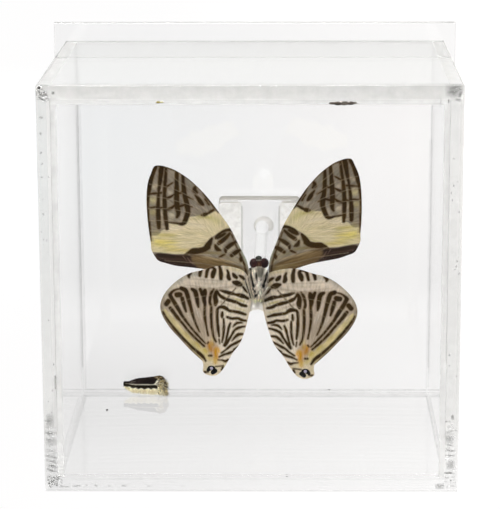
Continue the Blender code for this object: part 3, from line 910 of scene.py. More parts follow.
# %% Marks of the hindwing's underside
HIND_MARKS = [
    [(0.1, -1.9, .5), (0.9, -1.2, .8), (1.6, -.8, .4)],
    [(2.4, -1.3, .8), (2.9, -.9, 1.05), (3.3, -.4, .5)],
    [(4.3, -1.8, .8), (4.6, -1.3, 1.15), (4.6, -.3, .7), (4.9, .5, .5)],
    [(6.7, -1.7, .9), (6.65, -.6, 1.05), (6.75, .6, .85), (7.0, 1.5, .6)],
    [(9.0, -1.3, .9), (8.7, -.3, 1.3), (8.35, .6, .9), (8.8, 1.15, .6), (9.8, 1.0, .5),
     (10.4, .2, .8), (10.7, -1.3, .7)],
    [(11.9, .5, .5), (12.3, -.2, .9), (12.5, -1.1, .7)],
    [(14.9, -.5, .5), (15.5, -1.0, .9), (15.4, -1.6, .4)],
    [(1.3, -3.2, 1.0), (2.2, -2.9, 1.45), (3.3, -2.6, .6)],
    [(-0.5, -5.3, .3), (0.1, -4.6, .55), (0.7, -3.8, .4)],
    [(-.6, -6.9, .7), (.6, -6.4, 1.0), (1.6, -6.1, 1.0), (2.8, -5.95, .6), (3.6, -5.7, .8),
     (4.8, -5.5, .95), (6.2, -5.1, .7), (7.0, -4.9, .3)],
    [(-0.1, -9.0, .6), (1.2, -8.75, .85), (2.2, -8.2, .7), (3.6, -7.75, .9), (5.2, -7.3, .8),
     (6.6, -6.7, .85), (7.4, -6.0, .7), (7.9, -5.1, .7)],
    [(8.0, -5.2, .7), (8.35, -6.5, 1.2), (8.25, -7.8, 1.3), (8.4, -8.8, .8)],
    [(0.1, -11.3, .5), (1.6, -10.9, .8), (3.2, -10.6, .75), (4.6, -10.4, .7), (5.3, -9.9, .9),
     (6.1, -9.5, 1.0), (7.1, -9.5, .8), (7.8, -10.1, .7), (7.95, -12, .7), (7.85, -15, .75),
     (7.6, -17.4, .5)],
    [(0.1, -13, .5), (1.3, -12.85, .75), (2.3, -12.4, .6), (3.9, -12.5, .6), (5.2, -12.15, .6)],
    [(6.2, -12.6, .4), (6.2, -14.6, .6), (6.35, -16.8, .6), (6.85, -19, .3)],
    [(6.5, -10.8, .4), (6.6, -11.7, .7), (6.65, -12.3, .3)],
    [(1.1, -13.55, .35), (2.4, -13.65, .55), (3.3, -14.3, .45), (3.7, -14.8, .2)],
    [(.4, -14.5, .4), (2, -14.95, .65), (3.3, -15.7, .6), (4.2, -17.2, .55), (5.3, -18.9, .65),
     (6.1, -20, .6)],
    [(4.4, -13.8, .45), (4.8, -14.8, .65), (5.3, -16.8, .55), (5.8, -18.8, .45), (6.3, -19.9, .4)],
    [(1.0, -16.65, .4), (2.2, -16.8, .7), (3.2, -17.6, .6), (4.1, -18.6, .25)],
    [(1.3, -18.2, .4), (2.7, -19, .65), (4.5, -20.0, .6), (5.8, -21.1, .45), (7.1, -22, .3)],
    [(2.2, -20.0, .4), (3.5, -21, .65)],
    [(3.7, -21.3, .3), (5, -22, .7), (6.3, -22.4, .5), (7.7, -23.1, .3)],
    [(5.3, -23.8, .5), (6.1, -24.2, .6), (6.9, -24, .4), (8, -23.9, .25)],
    [(6.7, -25.5, .3), (8.8, -25.75, .2)], [(6.8, -25.9, .5), (7.0, -26.6, .6)],
    [(7.65, -18.2, .3), (7.5, -19.4, .25)], [(10.6, -19.1, .3), (10.9, -19.5, .2)],
    [(8.8, -4.7, .45), (9.5, -5.9, .75), (9.9, -8, .75), (9.55, -9.6, .65), (9.65, -12.5, .7),
     (9.45, -15.5, .6), (9.1, -17.6, .5), (8.5, -18.9, .4)],
    [(11.1, -4.9, .7), (11.35, -5.8, 1.4), (11.5, -7.2, 1.15), (11.3, -9, .7), (11.45, -11.5, .7),
     (11.2, -14, .55), (10.6, -17.3, .35)],
    [(12.4, -4.8, .8), (11.8, -6.2, 1.1)],
    [(14.8, -4.8, .6), (13.9, -5.4, 1.2), (13.5, -6.8, 1.15), (13.3, -8.5, .85), (13.1, -9.6, .3)],
    [(17.6, -4.6, 1.1), (16.5, -5.2, 1.2), (15.95, -6.8, 1.1), (15.5, -8.6, 1.0), (15, -10.6, .8),
     (14.4, -12.8, .6), (13.6, -15, .45), (13, -16.3, .25)],
    [(18.1, -6.3, 1.35), (18.9, -6.4, 1.3)],
    [(17.5, -7.3, 1.0), (17.1, -9, .9), (16.5, -10.9, .5)],
    [(17.9, -4.7, .35), (19.1, -4.95, .4), (20.2, -5.6, .6), (20.8, -6.5, 1.0)],
    [(20.8, -6.5, 1.05), (20, -8, 1.1), (18.8, -10, 1.05), (17.5, -12.2, .8), (16, -14.3, .6),
     (14.2, -16.5, .55), (12.5, -18.4, .45), (11.4, -19.5, .3)],
    [(21.3, -8.2, 1.3), (21.9, -8.9, 1.25)],
    [(20.8, -10.0, .9), (19.1, -12.3, .85), (17.8, -13.9, .6), (16, -16.1, .6), (13.9, -18.3, .55),
     (11.8, -20.2, .5)],
    [(22.9, -11.1, .4), (22.2, -12.4, .6), (20.7, -14.5, .62), (18.75, -16.95, .7),
     (16.55, -19.25, .65), (14.25, -21.4, .75), (12.4, -22.9, .8), (11.5, -24.2, .5)],
    [(23.3, -11.6, .08), (22.3, -13.3, .12), (20.7, -15.7, .12), (18.6, -18, .12),
     (16.0, -20.8, .12), (13.8, -22.9, .12), (12.6, -24.2, .08)],
    [(9.8, -22.7, .4), (10.5, -22.75, .5)],
    [(10.9, -27.3, .3), (11.8, -27.3, .5)],
    # This thin dark line along a crease is painted shade.
    [(2.7, -4.2, .12), (7, -9.2, .08)],
]
HIND_EYES = [[(9.5, -26.2, 1.2), (10.3, -26.2, 1.3), (10.9, -26.8, .9)],
             [(8.9, -26.9, 1.2), (9.6, -27.4, 1.2)]]
HIND_VEINS = [
    [(0.5, -2.6), (4, -4.3), (8.5, -4.9), (15, -3.6), (20.8, -4.6)],
    [(1.4, -3.6), (3.4, -5.2), (6, -7.6), (8.6, -8.9), (11, -10), (13, -11.4), (14.6, -14),
     (14.4, -19), (14, -22.4)],
    [(8.6, -8.9), (12.4, -9.9), (16.4, -12.2), (18.4, -13.6), (20.9, -15)],
    [(9.2, -6.2), (15.5, -7.4), (20, -9.6), (22.6, -12.4)],
    [(9.4, -10.8), (13.6, -13.2), (17, -16.4), (18.2, -17.9)],
    [(8, -10.4), (9.2, -15), (10, -20), (10.6, -25)],
    [(0.6, -4.4), (3.6, -10), (6.9, -17), (9, -24.8)],
]
# what counts as far from any mark, in millimetres
FAR_OFF = 9.0


def mark_distance(points, marks, wider=0.0):
    """Millimetres from each point to the edge of the nearest mark, negative inside a mark."""
    nearest = np.full(len(points), FAR_OFF)
    for mark in marks:
        line = smooth_line(mark, steps=6)
        far, along, _ = to_segments(points, line)
        width = line[:-1, 2][None] * (1 - along) + line[1:, 2][None] * along
        nearest = np.minimum(nearest, (far - width / 2 - wider).min(1))
    return nearest


def line_distance(points, lines):
    return mark_distance(points, [[(u, v, 0) for u, v in line] for line in lines])


# %% [markdown]
# Under the marks lies a soft ground colour, which changes slowly: cream in the pale band, taupe
# towards the tip, brown along the inner margin. It is laid in as a painter would, in areas with
# soft edges and then in soft strokes.

# %% Soft ground colours
TAUPE, CREAM, BROWN = "#8C8275", "#DDD0AE", "#35251C"
BAND = [(2.9, 10.7), (4.4, 11.2), (7.6, 9.7), (8.4, 9.2), (9.7, 7.6), (11.2, 6.9), (13.2, 6.8),
        (14.6, 6.1), (15.6, 5.4), (18, 5.6), (20.3, 6.0), (22.6, 6.5), (24.6, 7), (24.6, 10.4),
        (21.8, 10.8), (20.6, 12), (19.2, 12.4), (18.6, 13.8), (15.6, 13.4), (14.2, 14.5),
        (13.4, 15.0), (10, 15.2), (8.3, 16.1), (6.7, 15.9), (5.4, 15.4)]
FORE_AREAS = [
    (BAND, CREAM, 0.3),
    ([(9, 0), (12, 3.4), (14.2, 4.9), (15.6, 5.2), (18, 5.4), (22.4, 6.2), (25, 3), (16, -1)],
     BROWN, 0.6),
    ([(1.2, -2.6), (0.6, 0.2), (5, 2.4), (9, 3.8), (13, 4.8), (13.6, 3), (9, -1)], "#6F5B3E", 0.9),
]
# u, v, half length, half width, turn in degrees, colour, strength
FORE_STROKES = [
    (20.2, 8.6, 3.4, 1.2, 12, "#D9CA6C", .9), (21.8, 6.9, 2, .4, 14, "#DCCFA6", .8),
    (17, 6.5, 3.4, .5, 6, "#C3B26A", .75), (19.6, 10.7, 2.6, .5, 6, "#BFB164", .75),
    (16.2, 7.8, 4, .35, 8, "#E3D8B4", .6), (14.6, 9.0, 5, .3, 8, "#CDBF94", .6),
    (5.6, 12.6, 1.4, .5, 60, "#C9BE9C", .8), (7.4, 13.9, 1.8, 1.0, 40, "#CFC58E", .7),
    (9.8, 14.7, 1.8, .45, 10, "#B7AC6A", .8), (12.4, 14.4, 1.4, .35, 6, "#B9AB83", .6),
    (12.4, 12.9, 3.2, .6, 14, "#E4D8BE", .8), (17.5, 12.4, 2.2, .6, 2, "#E2D6BE", .8),
    (13, 10.7, 4, .45, 6, "#D5C8A0", .7), (11.6, 8.6, 3, .4, -4, "#E0D4B2", .7),
    (11, 7.5, 1.6, .3, -30, "#BFB188", .6), (23.2, 9.6, .4, 1.6, 0, "#C4B587", .7),
    (22.3, 11.6, 1.0, .5, -20, "#A0926F", .8), (20.3, 12.9, .5, .5, 80, "#A79A84", .8),
    (22.4, 13.2, .6, 1.0, 0, "#93876F", .7),
    (4.4, 5.4, 1.5, .4, -32, "#BBB19A", .8), (5.7, 7.3, 1.4, .35, -32, "#B7AD9B", .8),
    (3.3, 6.0, 1.2, .3, -32, "#B0A794", .7), (6.1, 8.8, 1.4, .3, -32, "#ABA394", .8),
    (0.55, 3.6, 4.6, .3, 72, "#A6AD9C", .95), (2.4, 4.0, 1.0, .3, -30, "#B3AA94", .7),
    (7.4, 8.0, .8, .5, 50, "#BDB199", .9),
    (8.2, 6.6, .5, .9, 20, "#B7AA8E", .8), (6.2, 6.3, .4, .6, 30, "#BDB197", .7),
    (1.1, 2.0, 1.6, .5, 62, "#A69C84", .8), (3, 3.1, 1.4, .5, 30, "#A89D85", .7),
    (8.3, 5.1, 2.4, .45, 8, "#8B7C55", .8), (4.6, 3.6, 1.6, .35, 20, "#8F8468", .7),
    (6.6, 3.1, 4.4, .33, 15, "#A58F6B", .85), (5.2, 1.7, 3.6, .28, 13, "#5A4629", .8),
    (7.6, 2.3, 3.8, .25, 16, "#8E754F", .8), (4.6, .5, 3.4, .4, 7, "#927C54", .8),
    (9.6, 1.4, 3, .3, 14, "#6B5334", .7), (11.4, 3.7, 2.2, .3, 16, "#8D7453", .8),
    (12.2, 4.7, 1.6, .25, 6, "#6B563A", .7), (10.6, 5.2, 1.6, .2, 2, "#7E6B49", .7),
    (14.4, 3.6, .9, .16, 58, "#7D6659", .7), (15.6, 4.4, 1.1, .14, 58, "#705A4F", .7),
    (13.6, 2.7, .4, .2, 50, "#8A7466", .6), (18.4, 4.2, 3.2, .2, 8, "#4B382E", .7),
    (21, 4.6, 1.6, .2, 20, "#503C31", .7), (2.6, -.6, 2.2, .5, 8, "#8A7650", .8),
    (12.6, 24.2, 1.4, .7, 60, "#8D877A", .8), (11.2, 22.9, .8, .4, 50, "#9A917F", .7),
    (9.6, 17.0, 1.4, .35, 35, "#A1968A", .8), (12.0, 17.3, 1.7, .3, 42, "#94897A", .7),
    (12.3, 18.9, 1.6, .35, 40, "#7B7265", .7), (11.6, 16.0, 1.6, .3, 25, "#8F8474", .7),
    (12.7, 20.9, 1.4, .3, 42, "#A59B8C", .7), (13.2, 22.4, .6, .9, 0, "#7D7467", .7),
    (17.5, 25.3, .6, 1.4, -10, "#8D8579", .7), (17.6, 21.7, .8, .9, 0, "#B5A999", .9),
    (17.7, 18.6, .8, 1.0, 0, "#837869", .7), (17.9, 15.8, .8, .9, 0, "#BCAF99", .9),
    (15.2, 24.5, .3, 2.5, 0, "#8E8679", .7), (15.2, 18.5, .35, 2.2, 0, "#6F655A", .8),
    (15.3, 15.1, .5, .9, 0, "#B1A594", .8), (19.3, 26.6, .2, 1.6, -10, "#9A9184", .7),
    (21.3, 26.2, .5, 1.6, -16, "#8C8273", .8), (21.3, 23.7, .9, .5, 0, "#BFB199", .95),
    (20.1, 22.9, .4, .5, 0, "#BBAE97", .8), (22.2, 20.2, .9, .9, 0, "#C0B389", .95),
    (20.1, 19.3, .3, .9, 0, "#A99C84", .8), (22.5, 17.0, .8, .9, 0, "#B4A67B", .95),
    (20.4, 16.3, .35, .9, 0, "#BDB099", .9), (20.4, 14.0, .35, .7, 0, "#A79A83", .8),
    (22.6, 14.6, .7, .35, 0, "#A99C82", .7),
]
HIND_AREAS = [
    ([(-3, 3), (20, 4), (26, -7), (26, -12), (23, -11), (20.8, -5.4), (15, -4.2), (8, -4.4),
      (2, -3.8), (-3, -3.5)], "#E0D6BF", 0.8),
    ([(-3, -3.4), (2, -4), (7, -4.8), (8, -10), (8, -20), (7, -29), (-3, -20)], "#ECE4CC", 0.9),
    ([(22.6, -10.2), (20.4, -12.2), (17, -16.4), (12, -21), (10.4, -22.6), (10.6, -24.6),
      (12.6, -24), (17.6, -18.6), (22.4, -12.4)], "#D9CB94", 0.5),
    ([(22.6, -5.2), (24.6, -9), (24, -12.6), (22.6, -10), (22.2, -8)], "#A79C84", 0.6),
    ([(5.6, -24.4), (13.4, -24.2), (13, -29.5), (5, -29)], "#E2D7B4", 0.9),
]
HIND_STROKES = [
    (17.5, -1.8, 4, .8, -28, "#B5B1A0", .85), (21.2, -5.2, 2.6, .7, -52, "#A9A591", .85),
    (22.8, -9, 1.8, .45, -80, "#A89C86", .7), (13.8, -.7, 1.2, .7, 0, "#B9B6A6", .8),
    (9, -3.1, 6.5, .4, 0, "#CFC3AA", .7), (10, -2.2, 6.5, .25, 2, "#B9AE97", .7),
    (8, -4.3, 5, .18, -6, "#B2A792", .7), (13.5, -3.9, 4, .2, 6, "#BDB19A", .6),
    (5.6, -4.2, 2.4, .4, -14, "#BBB09A", .8), (0.4, -2.6, 1.4, .6, 40, "#CFC39B", .8),
    (2.4, 0.8, 3.4, .6, 6, "#DDD1A4", .8), (5.7, -.6, .4, 1.2, 0, "#DDD2B0", .8),
    (7.7, -.4, .3, 1.2, 0, "#DDD2B2", .8), (9.6, -.5, .35, .9, 0, "#D2C8AE", .8),
    (3.2, -7.0, 3.2, .3, 16, "#CFC4A2", .8), (5.8, -8.4, 2.4, .4, 18, "#BBB098", .8),
    (1.6, -7.5, 1.4, .35, 15, "#CEC38A", .9), (1.6, -9.9, 1.8, .35, 14, "#D6CA9E", .8),
    (12.8, -14, 3.2, 1.4, 66, "#B8AA93", .9), (14.2, -8.4, 2.6, .35, 78, "#CBBEA8", .8),
    (12.4, -8.2, 2.4, .3, 84, "#BDB09B", .8), (16.3, -8.4, 2.6, .3, 72, "#C7BAA5", .8),
    (18.3, -8.6, 2.2, .35, 60, "#CFC3AF", .9), (19.7, -6.9, 1.6, .3, -40, "#C9BDA6", .8),
    (10.6, -7.4, 1.8, .25, 88, "#CBBEA8", .8), (10.5, -13, 3.6, .25, 88, "#BFB19C", .7),
    (8.7, -12.5, 5, .25, 88, "#C9BBA2", .7), (13.2, -11.4, 1.8, .5, 62, "#D0C5B1", .8),
    (15.6, -12.4, 1.8, .35, 60, "#D2C6B0", .8), (16.7, -13.2, 2.4, .25, 54, "#D8CDB4", .8),
    (18.9, -11.2, 2.2, .25, 54, "#CFC2AA", .8), (12.4, -16.8, 2, .6, 56, "#B5A78F", .7),
    (6.9, -14.5, 4, .25, 88, "#D3C7AA", .7), (-.8, -10, 5, .35, 100, "#D6C9AD", .8),
    (20.9, -11.9, .9, .5, 54, "#DDD1A9", .9), (18.9, -14.3, 1.0, .5, 54, "#DACD9E", .9),
    (16.4, -17.2, 1.2, .5, 50, "#CDBD7C", .9), (13.6, -19.8, 1.2, .5, 48, "#C9B769", .9),
    (21.9, -13.0, 2.6, .16, 56, "#D9CFB0", .8), (18, -17.9, 3, .16, 50, "#CFC39E", .8),
    (10.2, -20.4, 1.4, .75, 80, "#BE8420", 1), (9.6, -19.4, .8, .6, 60, "#C19A45", .9),
    (8.6, -22.2, 2.0, .75, 86, "#D49A22", 1), (7.9, -21.2, .9, .5, 70, "#D9A93C", .9),
    (8.9, -24.2, 1.0, .6, 84, "#D6B14E", .9), (11.5, -21.4, .9, .7, 50, "#CDB95E", .9),
    (10.3, -23.6, .7, .6, 84, "#D2C17E", .8), (9.4, -18.2, .6, .8, 0, "#CDBB85", .8),
    (11.4, -25.8, .7, 1.2, 0, "#D5C9A4", .9),
]


def soft_ground(points, base, areas, strokes, crisp=2):
    """Linear colour at every point: a base, then soft-edged areas, then soft strokes."""
    colour = np.tile(np.array(linear(base)), (len(points), 1))
    for outline, hex_colour, feather in areas:
        inner, _ = inside_distance(points, smooth_line(outline, closed=True, steps=4))
        cover = np.clip(0.5 + inner / feather, 0, 1)
        cover = (cover * cover * (3 - 2 * cover))[:, None]
        colour = colour * (1 - cover) + np.array(linear(hex_colour)) * cover
    for u, v, long, short, angle, hex_colour, strength in strokes:
        c, s = math.cos(math.radians(angle)), math.sin(math.radians(angle))
        gap = points - (u, v)
        along, across = gap @ (c, s), gap @ (-s, c)
        cover = strength * np.exp(-((along / long) ** 4 + np.abs(across / short) ** crisp))[:, None]
        colour = colour * (1 - cover) + np.array(linear(hex_colour)) * cover
    return colour


# %% [markdown]
# ## Cutting the wings
# A wing's grid is fine enough that its rim follows the outline. The veins stand up a little and
# the membrane between them sinks, as it does when a wing dries. Solidify gives it a thickness.

# %% Wings
GRID = 0.17
THICKNESS = 0.2 * MM
LIFT, REACH = 0.5, 24
# Old scales have yellowed, the forewings' more than the hindwings'.
YELLOWED = {"fore": (0.955, 0.93, 0.86), "hind": (0.945, 0.9, 0.915)}
# marks and how much wider they are drawn, eyespots, veins, ground colour, its areas and strokes
PATTERNS = {
    "fore": (FORE_MARKS, 0.06, [], FORE_VEINS, TAUPE, FORE_AREAS, FORE_STROKES),
    "hind": (HIND_MARKS, 0.045, HIND_EYES, HIND_VEINS, "#C3B49B", HIND_AREAS, HIND_STROKES),
}


def flat_wing(name, kind):
    """The trimmed grid, its vertices in millimetres and how far inside the outline they lie."""
    outline = outlines[kind]
    low, high = outline.min(0) - 0.4, outline.max(0) + 0.4
    counts = np.ceil((high - low) / GRID).astype(int)
    obj = primitive(name, bpy.ops.mesh.primitive_grid_add, x_subdivisions=int(counts[0]),
                    y_subdivisions=int(counts[1]), size=1)
    points = low + (vertex_places(obj)[:, :2] + 0.5) * (high - low)
    corners = np.zeros(len(obj.data.loops), int)
    obj.data.loops.foreach_get("vertex_index", corners)
    centres = points[corners].reshape(-1, 4, 2).mean(1)
    keep, _ = inside_distance(centres, outline)
    in_edit(obj, "FACE", lambda face: keep[face.index] <= 0)
    bpy.ops.mesh.delete(type="FACE")
    out_of_edit()
    points = low + (vertex_places(obj)[:, :2] + 0.5) * (high - low)
    uses = {}
    for polygon in obj.data.polygons:
        for edge in polygon.edge_keys:
            uses[edge] = uses.get(edge, 0) + 1
    rim = sorted({v for edge, times in uses.items() if times == 1 for v in edge})
    _, near = inside_distance(points, outline)
    points[rim] = near[rim]
    inner, _ = inside_distance(points, outline)
    return obj, points, inner


def wing_place(points, side, root, turn_by, width, height, lean):
    """Carries a flat wing's points to its root, and turns and stretches them there."""
    out = points[:, 0] * width + points[:, 1] * lean
    rise = points[:, 1] * height
    angle = math.radians(turn_by)
    x = root[0] + side * (out * math.cos(angle) - rise * math.sin(angle))
    z = root[1] + out * math.sin(angle) + rise * math.cos(angle)
    return x * MM, z * MM


def make_wing(name):
    kind, wing_depth, side, root, turn_by, width, height, lean = WINGS[name]
    marks, wider, eyes, vein_lines, base, areas, strokes = PATTERNS[kind]
    obj, points, inner = flat_wing(name.replace("wing", "wing_membrane"), kind)
    veins = line_distance(points, vein_lines)
    if kind == "fore":
        pale, _ = inside_distance(points, smooth_line(BAND, closed=True, steps=4))
        hearts = np.where(points[:, 1:] > 6, (6, 8), (-3, -2))
    else:
        pale = np.full(len(points), -FAR_OFF)
        hearts = (9.5, -27)
    # The left forewing's ground is drawn a tenth brighter than the right one's.
    left_brighter = 1.1 if name == "left_forewing" else 1.0
    tint_piece(obj, soft_ground(points, base, areas, strokes) * YELLOWED[kind] * left_brighter)
    gap = points - hearts
    fan = np.column_stack([np.arctan2(gap[:, 1], gap[:, 0]) * 34,
                           np.linalg.norm(gap, axis=1) * 0.3, np.zeros(len(points))])
    for layer, values in (("mark", mark_distance(points, marks, wider)),
                          ("eyespot", mark_distance(points, eyes)),
                          ("pupil", np.linalg.norm(points - (9.95, -26.25), axis=1) - 0.42),
                          ("vein", veins), ("rim", inner), ("pale_band", pale)):
        keep_values(obj, layer, values)
    keep_values(obj, "fan", fan, "FLOAT_VECTOR")
    x, z = wing_place(points, side, root, turn_by, width, height, lean)
    reach = (x / MM - root[0]) / REACH
    relief = 0.06 * np.exp(-(veins / 0.16) ** 2) - 0.05 * np.clip(veins / 1.6, 0, 1)
    wave = 0.06 * np.sin(points[:, 0] * 0.9 + points[:, 1] * 0.35) * np.clip(inner / 2, 0, 1)
    y = depth(wing_depth) - (LIFT * reach ** 2 + relief + wave) * MM
    obj.data.vertices.foreach_set("co", np.column_stack([x, y, z]).ravel())
    obj.data.update()
    if obj.data.polygons[0].normal.y > 0:
        flip(obj)
    apply_modifier(obj, "SOLIDIFY", thickness=THICKNESS, offset=0)
    return smooth(obj, 50)


# %% [markdown]
# ## Wing scales
# A scale is about 0.1 mm long and they lie in rows like roof tiles, so the colour is slightly
# grainy and the surface is matt. The mark's distance is roughened by fine noise before it is cut
# off, so that its edge ends in single scales. The upper side has a pattern of its own.

# %% Wing materials
SCALE_ROW = 0.12 * MM


def scaled_surface(name, hex_colour):
    """A wing material with scale grain, and the sockets that both sides use."""
    material, shader = new_material(name, hex_colour, Roughness=0.75, Specular_IOR_Level=0.06)
    where = in_object(material)
    grain = cloudy(material, where, 0.8 / SCALE_ROW, 2)
    patches = cloudy(material, where, 700, 4)
    ridge = soft_ramp(material, stored(material, "vein"), 0.0, 0.2, 1, 0)
    bump(material, shader, reckon(material, "MULTIPLY_ADD", ridge, 2.0, grain), 0.5, 0.00004)
    return material, shader, grain, patches, ridge


def cut_off(material, name, grain, ragged, soft=0.05):
    """1 inside a mark and 0 outside it, with an edge roughened by the scales."""
    centred = reckon(material, "SUBTRACT", grain, 0.5)
    rough = reckon(material, "MULTIPLY_ADD", centred, ragged, stored(material, name))
    return ramp(material, rough, -soft, soft, 1, 0)


underside, shader, grain, patches, ridge = scaled_surface("wing scales, underside", "#BCAE93")
speckle = ramp(underside, grain, 0.25, 0.75, 0.84, 1.14)
# Streaks run out from the root between the veins, as rows of scales do.
streak = cloudy(underside, stored(underside, "fan", "Vector"), 1.0, 3, 0.65)
streaky = ramp(underside, streak, 0.25, 0.75, 0.62, 1.3)
colour = blend(underside, 1.0, stored(underside, "ground", "Color"), speckle, "MULTIPLY")
colour = blend(underside, 1.0, colour, streaky, "MULTIPLY")
# A mark is nearly black in its middle and brown at its edge, and thins out into the ground.
mark_depth = stored(underside, "mark")
halo = soft_ramp(underside, mark_depth, 0.0, 0.34, 0.42, 0)
colour = blend(underside, halo, colour, "#6B5230")
mark = cut_off(underside, "mark", patches, 0.42, 0.15)
dark = blend(underside, ramp(underside, mark_depth, -0.26, 0.04), "#362300", "#503A1B")
dark = blend(underside, 1.0, dark, streaky, "MULTIPLY")
colour = blend(underside, mark, colour, dark)
# The veins carry thinner scales, so they show pale, even across the dark marks.
colour = blend(underside, reckon(underside, "MULTIPLY", ridge, 0.26), colour, "#B9A587")
for name, ragged, tint in (("eyespot", 0.12, "#0F0B0B"), ("pupil", 0.1, "#A9A3B8")):
    colour = blend(underside, cut_off(underside, name, grain, ragged), colour, tint)
link(underside, colour, shader, "Base Color")

upperside, shader, grain, patches, ridge = scaled_surface("wing scales, upper side", "#3A291E")
brown = blend(upperside, patches, "#2A1C14", "#4B3628")
band = cut_off(upperside, "pale_band", patches, -0.9, 0.2)
colour = blend(upperside, band, "#D5C896", brown)
colour = blend(upperside, cut_off(upperside, "rim", grain, 0.1, 0.3), colour, "#21160F")
link(upperside, colour, shader, "Base Color")

for name in WINGS:
    wing = dress(make_wing(name), underside, upperside, slot="wing_scales", replaces=(name,))
    # The upper side faces the plate.
    give_material(wing, 1, lambda face: face.normal.y > 0)

# %% [markdown]
# ## Body
# The thorax is a hard barrel under a coat of short grey hair, with the folded legs lying along it
# in a V. The head has two large dark eyes. Barrels are made the same way each time: a cylinder is
# cut across at several heights, and each ring is drawn in or out to a profile.


# %% Turned and bent pieces
def barrel(name, profile, sides=28):
    """A cylinder standing on Z whose rings follow (radius, height) pairs in millimetres."""
    heights = [height for _, height in profile]
    low, high = heights[0], heights[-1]
    obj = place_applied(primitive(
        name, bpy.ops.mesh.primitive_cylinder_add, vertices=sides, radius=MM,
        depth=(high - low) * MM, location=(0, 0, (high + low) / 2 * MM)))
    for height in heights[1:-1]:
        cut_across(obj, (0, 0, height * MM), (0, 0, 1))
    radii = {round(height, 4): radius for radius, height in profile}
    for vertex in obj.data.vertices:
        radius = radii[min(radii, key=lambda height: abs(height - vertex.co.z / MM))]
        vertex.co.x *= radius
        vertex.co.y *= radius
    return obj


def tube(name, points, sides=10, steps=5):
    """A cylinder bent along a smooth line of (x, depth, z, radius) points in millimetres."""
    line = smooth_line(points, steps=steps)
    obj = barrel(name, [(1, i) for i in range(len(line))], sides)
    middles = [Vector((x * MM, depth(d), z * MM)) for x, d, z, _ in line]
    for vertex in obj.data.vertices:
        i = int(round(vertex.co.z / MM))
        run = middles[min(i + 1, len(line) - 1)] - middles[max(i - 1, 0)]
        across = run.cross(Vector((0, 1, 0))).normalized()
        outward = across.cross(run).normalized()
        radius = line[i][3]
        vertex.co = middles[i] + across * vertex.co.x * radius + outward * vertex.co.y * radius
    face_outward(obj)
    return obj


def ball(name, place, radii, sides=24):
    """A sphere primitive stretched to three radii, at x, depth and z in millimetres."""
    obj = primitive(name, bpy.ops.mesh.primitive_uv_sphere_add, segments=sides,
                    ring_count=sides // 2, radius=1)
    obj.scale = [r * MM for r in radii]
    obj.location = (place[0] * MM, depth(place[1]), place[2] * MM)
    return smooth(place_applied(obj), 60)


# %% Hair
def hairs(name, roots, directions, lengths, colours, width, droop, dice):
    """Tapered three-sided hairs, each bent a little, as one mesh with a colour per hair."""
    count = len(roots)
    down = np.array((0, 0, -1.0))
    directions = directions / np.linalg.norm(directions, axis=1)[:, None]
    side = np.cross(directions, dice.normal(size=(count, 3)))
    side /= np.linalg.norm(side, axis=1)[:, None]
    other = np.cross(directions, side)
    curl = dice.normal(size=(count, 1)) * 0.12
    rings = []
    for t, thick in ((0, 1.0), (0.4, 0.85), (0.75, 0.5)):
        middle = roots + directions * (lengths * t)[:, None] \
            + (down * droop + side * curl) * (lengths * t * t)[:, None]
        for corner in range(3):
            turn = 2 * math.pi * corner / 3
            rings.append(middle + (side * math.cos(turn) + other * math.sin(turn)) * width * thick)
    tip = roots + directions * lengths[:, None] + (down * droop + side * curl) * lengths[:, None]
    points = np.stack(rings + [tip], axis=1).reshape(-1, 3)
    faces = [(2, 1, 0)]
    for ring in (0, 3):
        for c in range(3):
            d = (c + 1) % 3
            faces.append((ring + c, ring + d, ring + 3 + d, ring + 3 + c))
    faces += [(6, 7, 9), (7, 8, 9), (8, 6, 9)]
    all_faces = [tuple(HAIR_POINTS * i + v for v in face) for i in range(count) for face in faces]
    mesh = bpy.data.meshes.new(name)
    mesh.from_pydata([tuple(p) for p in points * MM], [], all_faces)
    obj = tint_piece(piece_from(name, mesh), np.repeat(colours, HAIR_POINTS, axis=0))
    face_outward(obj)
    return obj


def own_coloured(name, hex_colour, glow=0.0, **sockets):
    """A material whose colour, and glow if it has one, come from the mesh."""
    material, shader = new_material(name, hex_colour, Emission_Strength=glow, **sockets)
    tone = stored(material, "ground", "Color")
    link(material, tone, shader, "Base Color")
    if glow:
        link(material, tone, shader, "Emission Color")
    return material


HAIR_POINTS = 10
hair_matter = own_coloured("insect hair", "#8F887C", Roughness=0.65, Specular_IOR_Level=0.03)
chitin = own_coloured("dark chitin", "#2B221B", Roughness=0.6, Specular_IOR_Level=0.08)
# The abdomen's fine hair lets light through, which a small even glow stands for.
abdomen_matter = own_coloured("haired abdomen", "#8F887C", 0.2, Roughness=0.65,
                              Specular_IOR_Level=0.03)
eye_matter, shader = new_material("dried eye", "#2C0C0B", Roughness=0.4, Specular_IOR_Level=0.2)
facets = add_node(eye_matter, "ShaderNodeTexVoronoi", {
    "Scale": 12000, "Vector": in_object(eye_matter)})
bump(eye_matter, shader, facets.outputs["Distance"], 0.35, 0.00002)

# %% [markdown]
# The coat's light and dark streaks are laid in like the wings' ground colours, in millimetres
# from the thorax's tail end, and both the barrel and every hair take their colour from them.

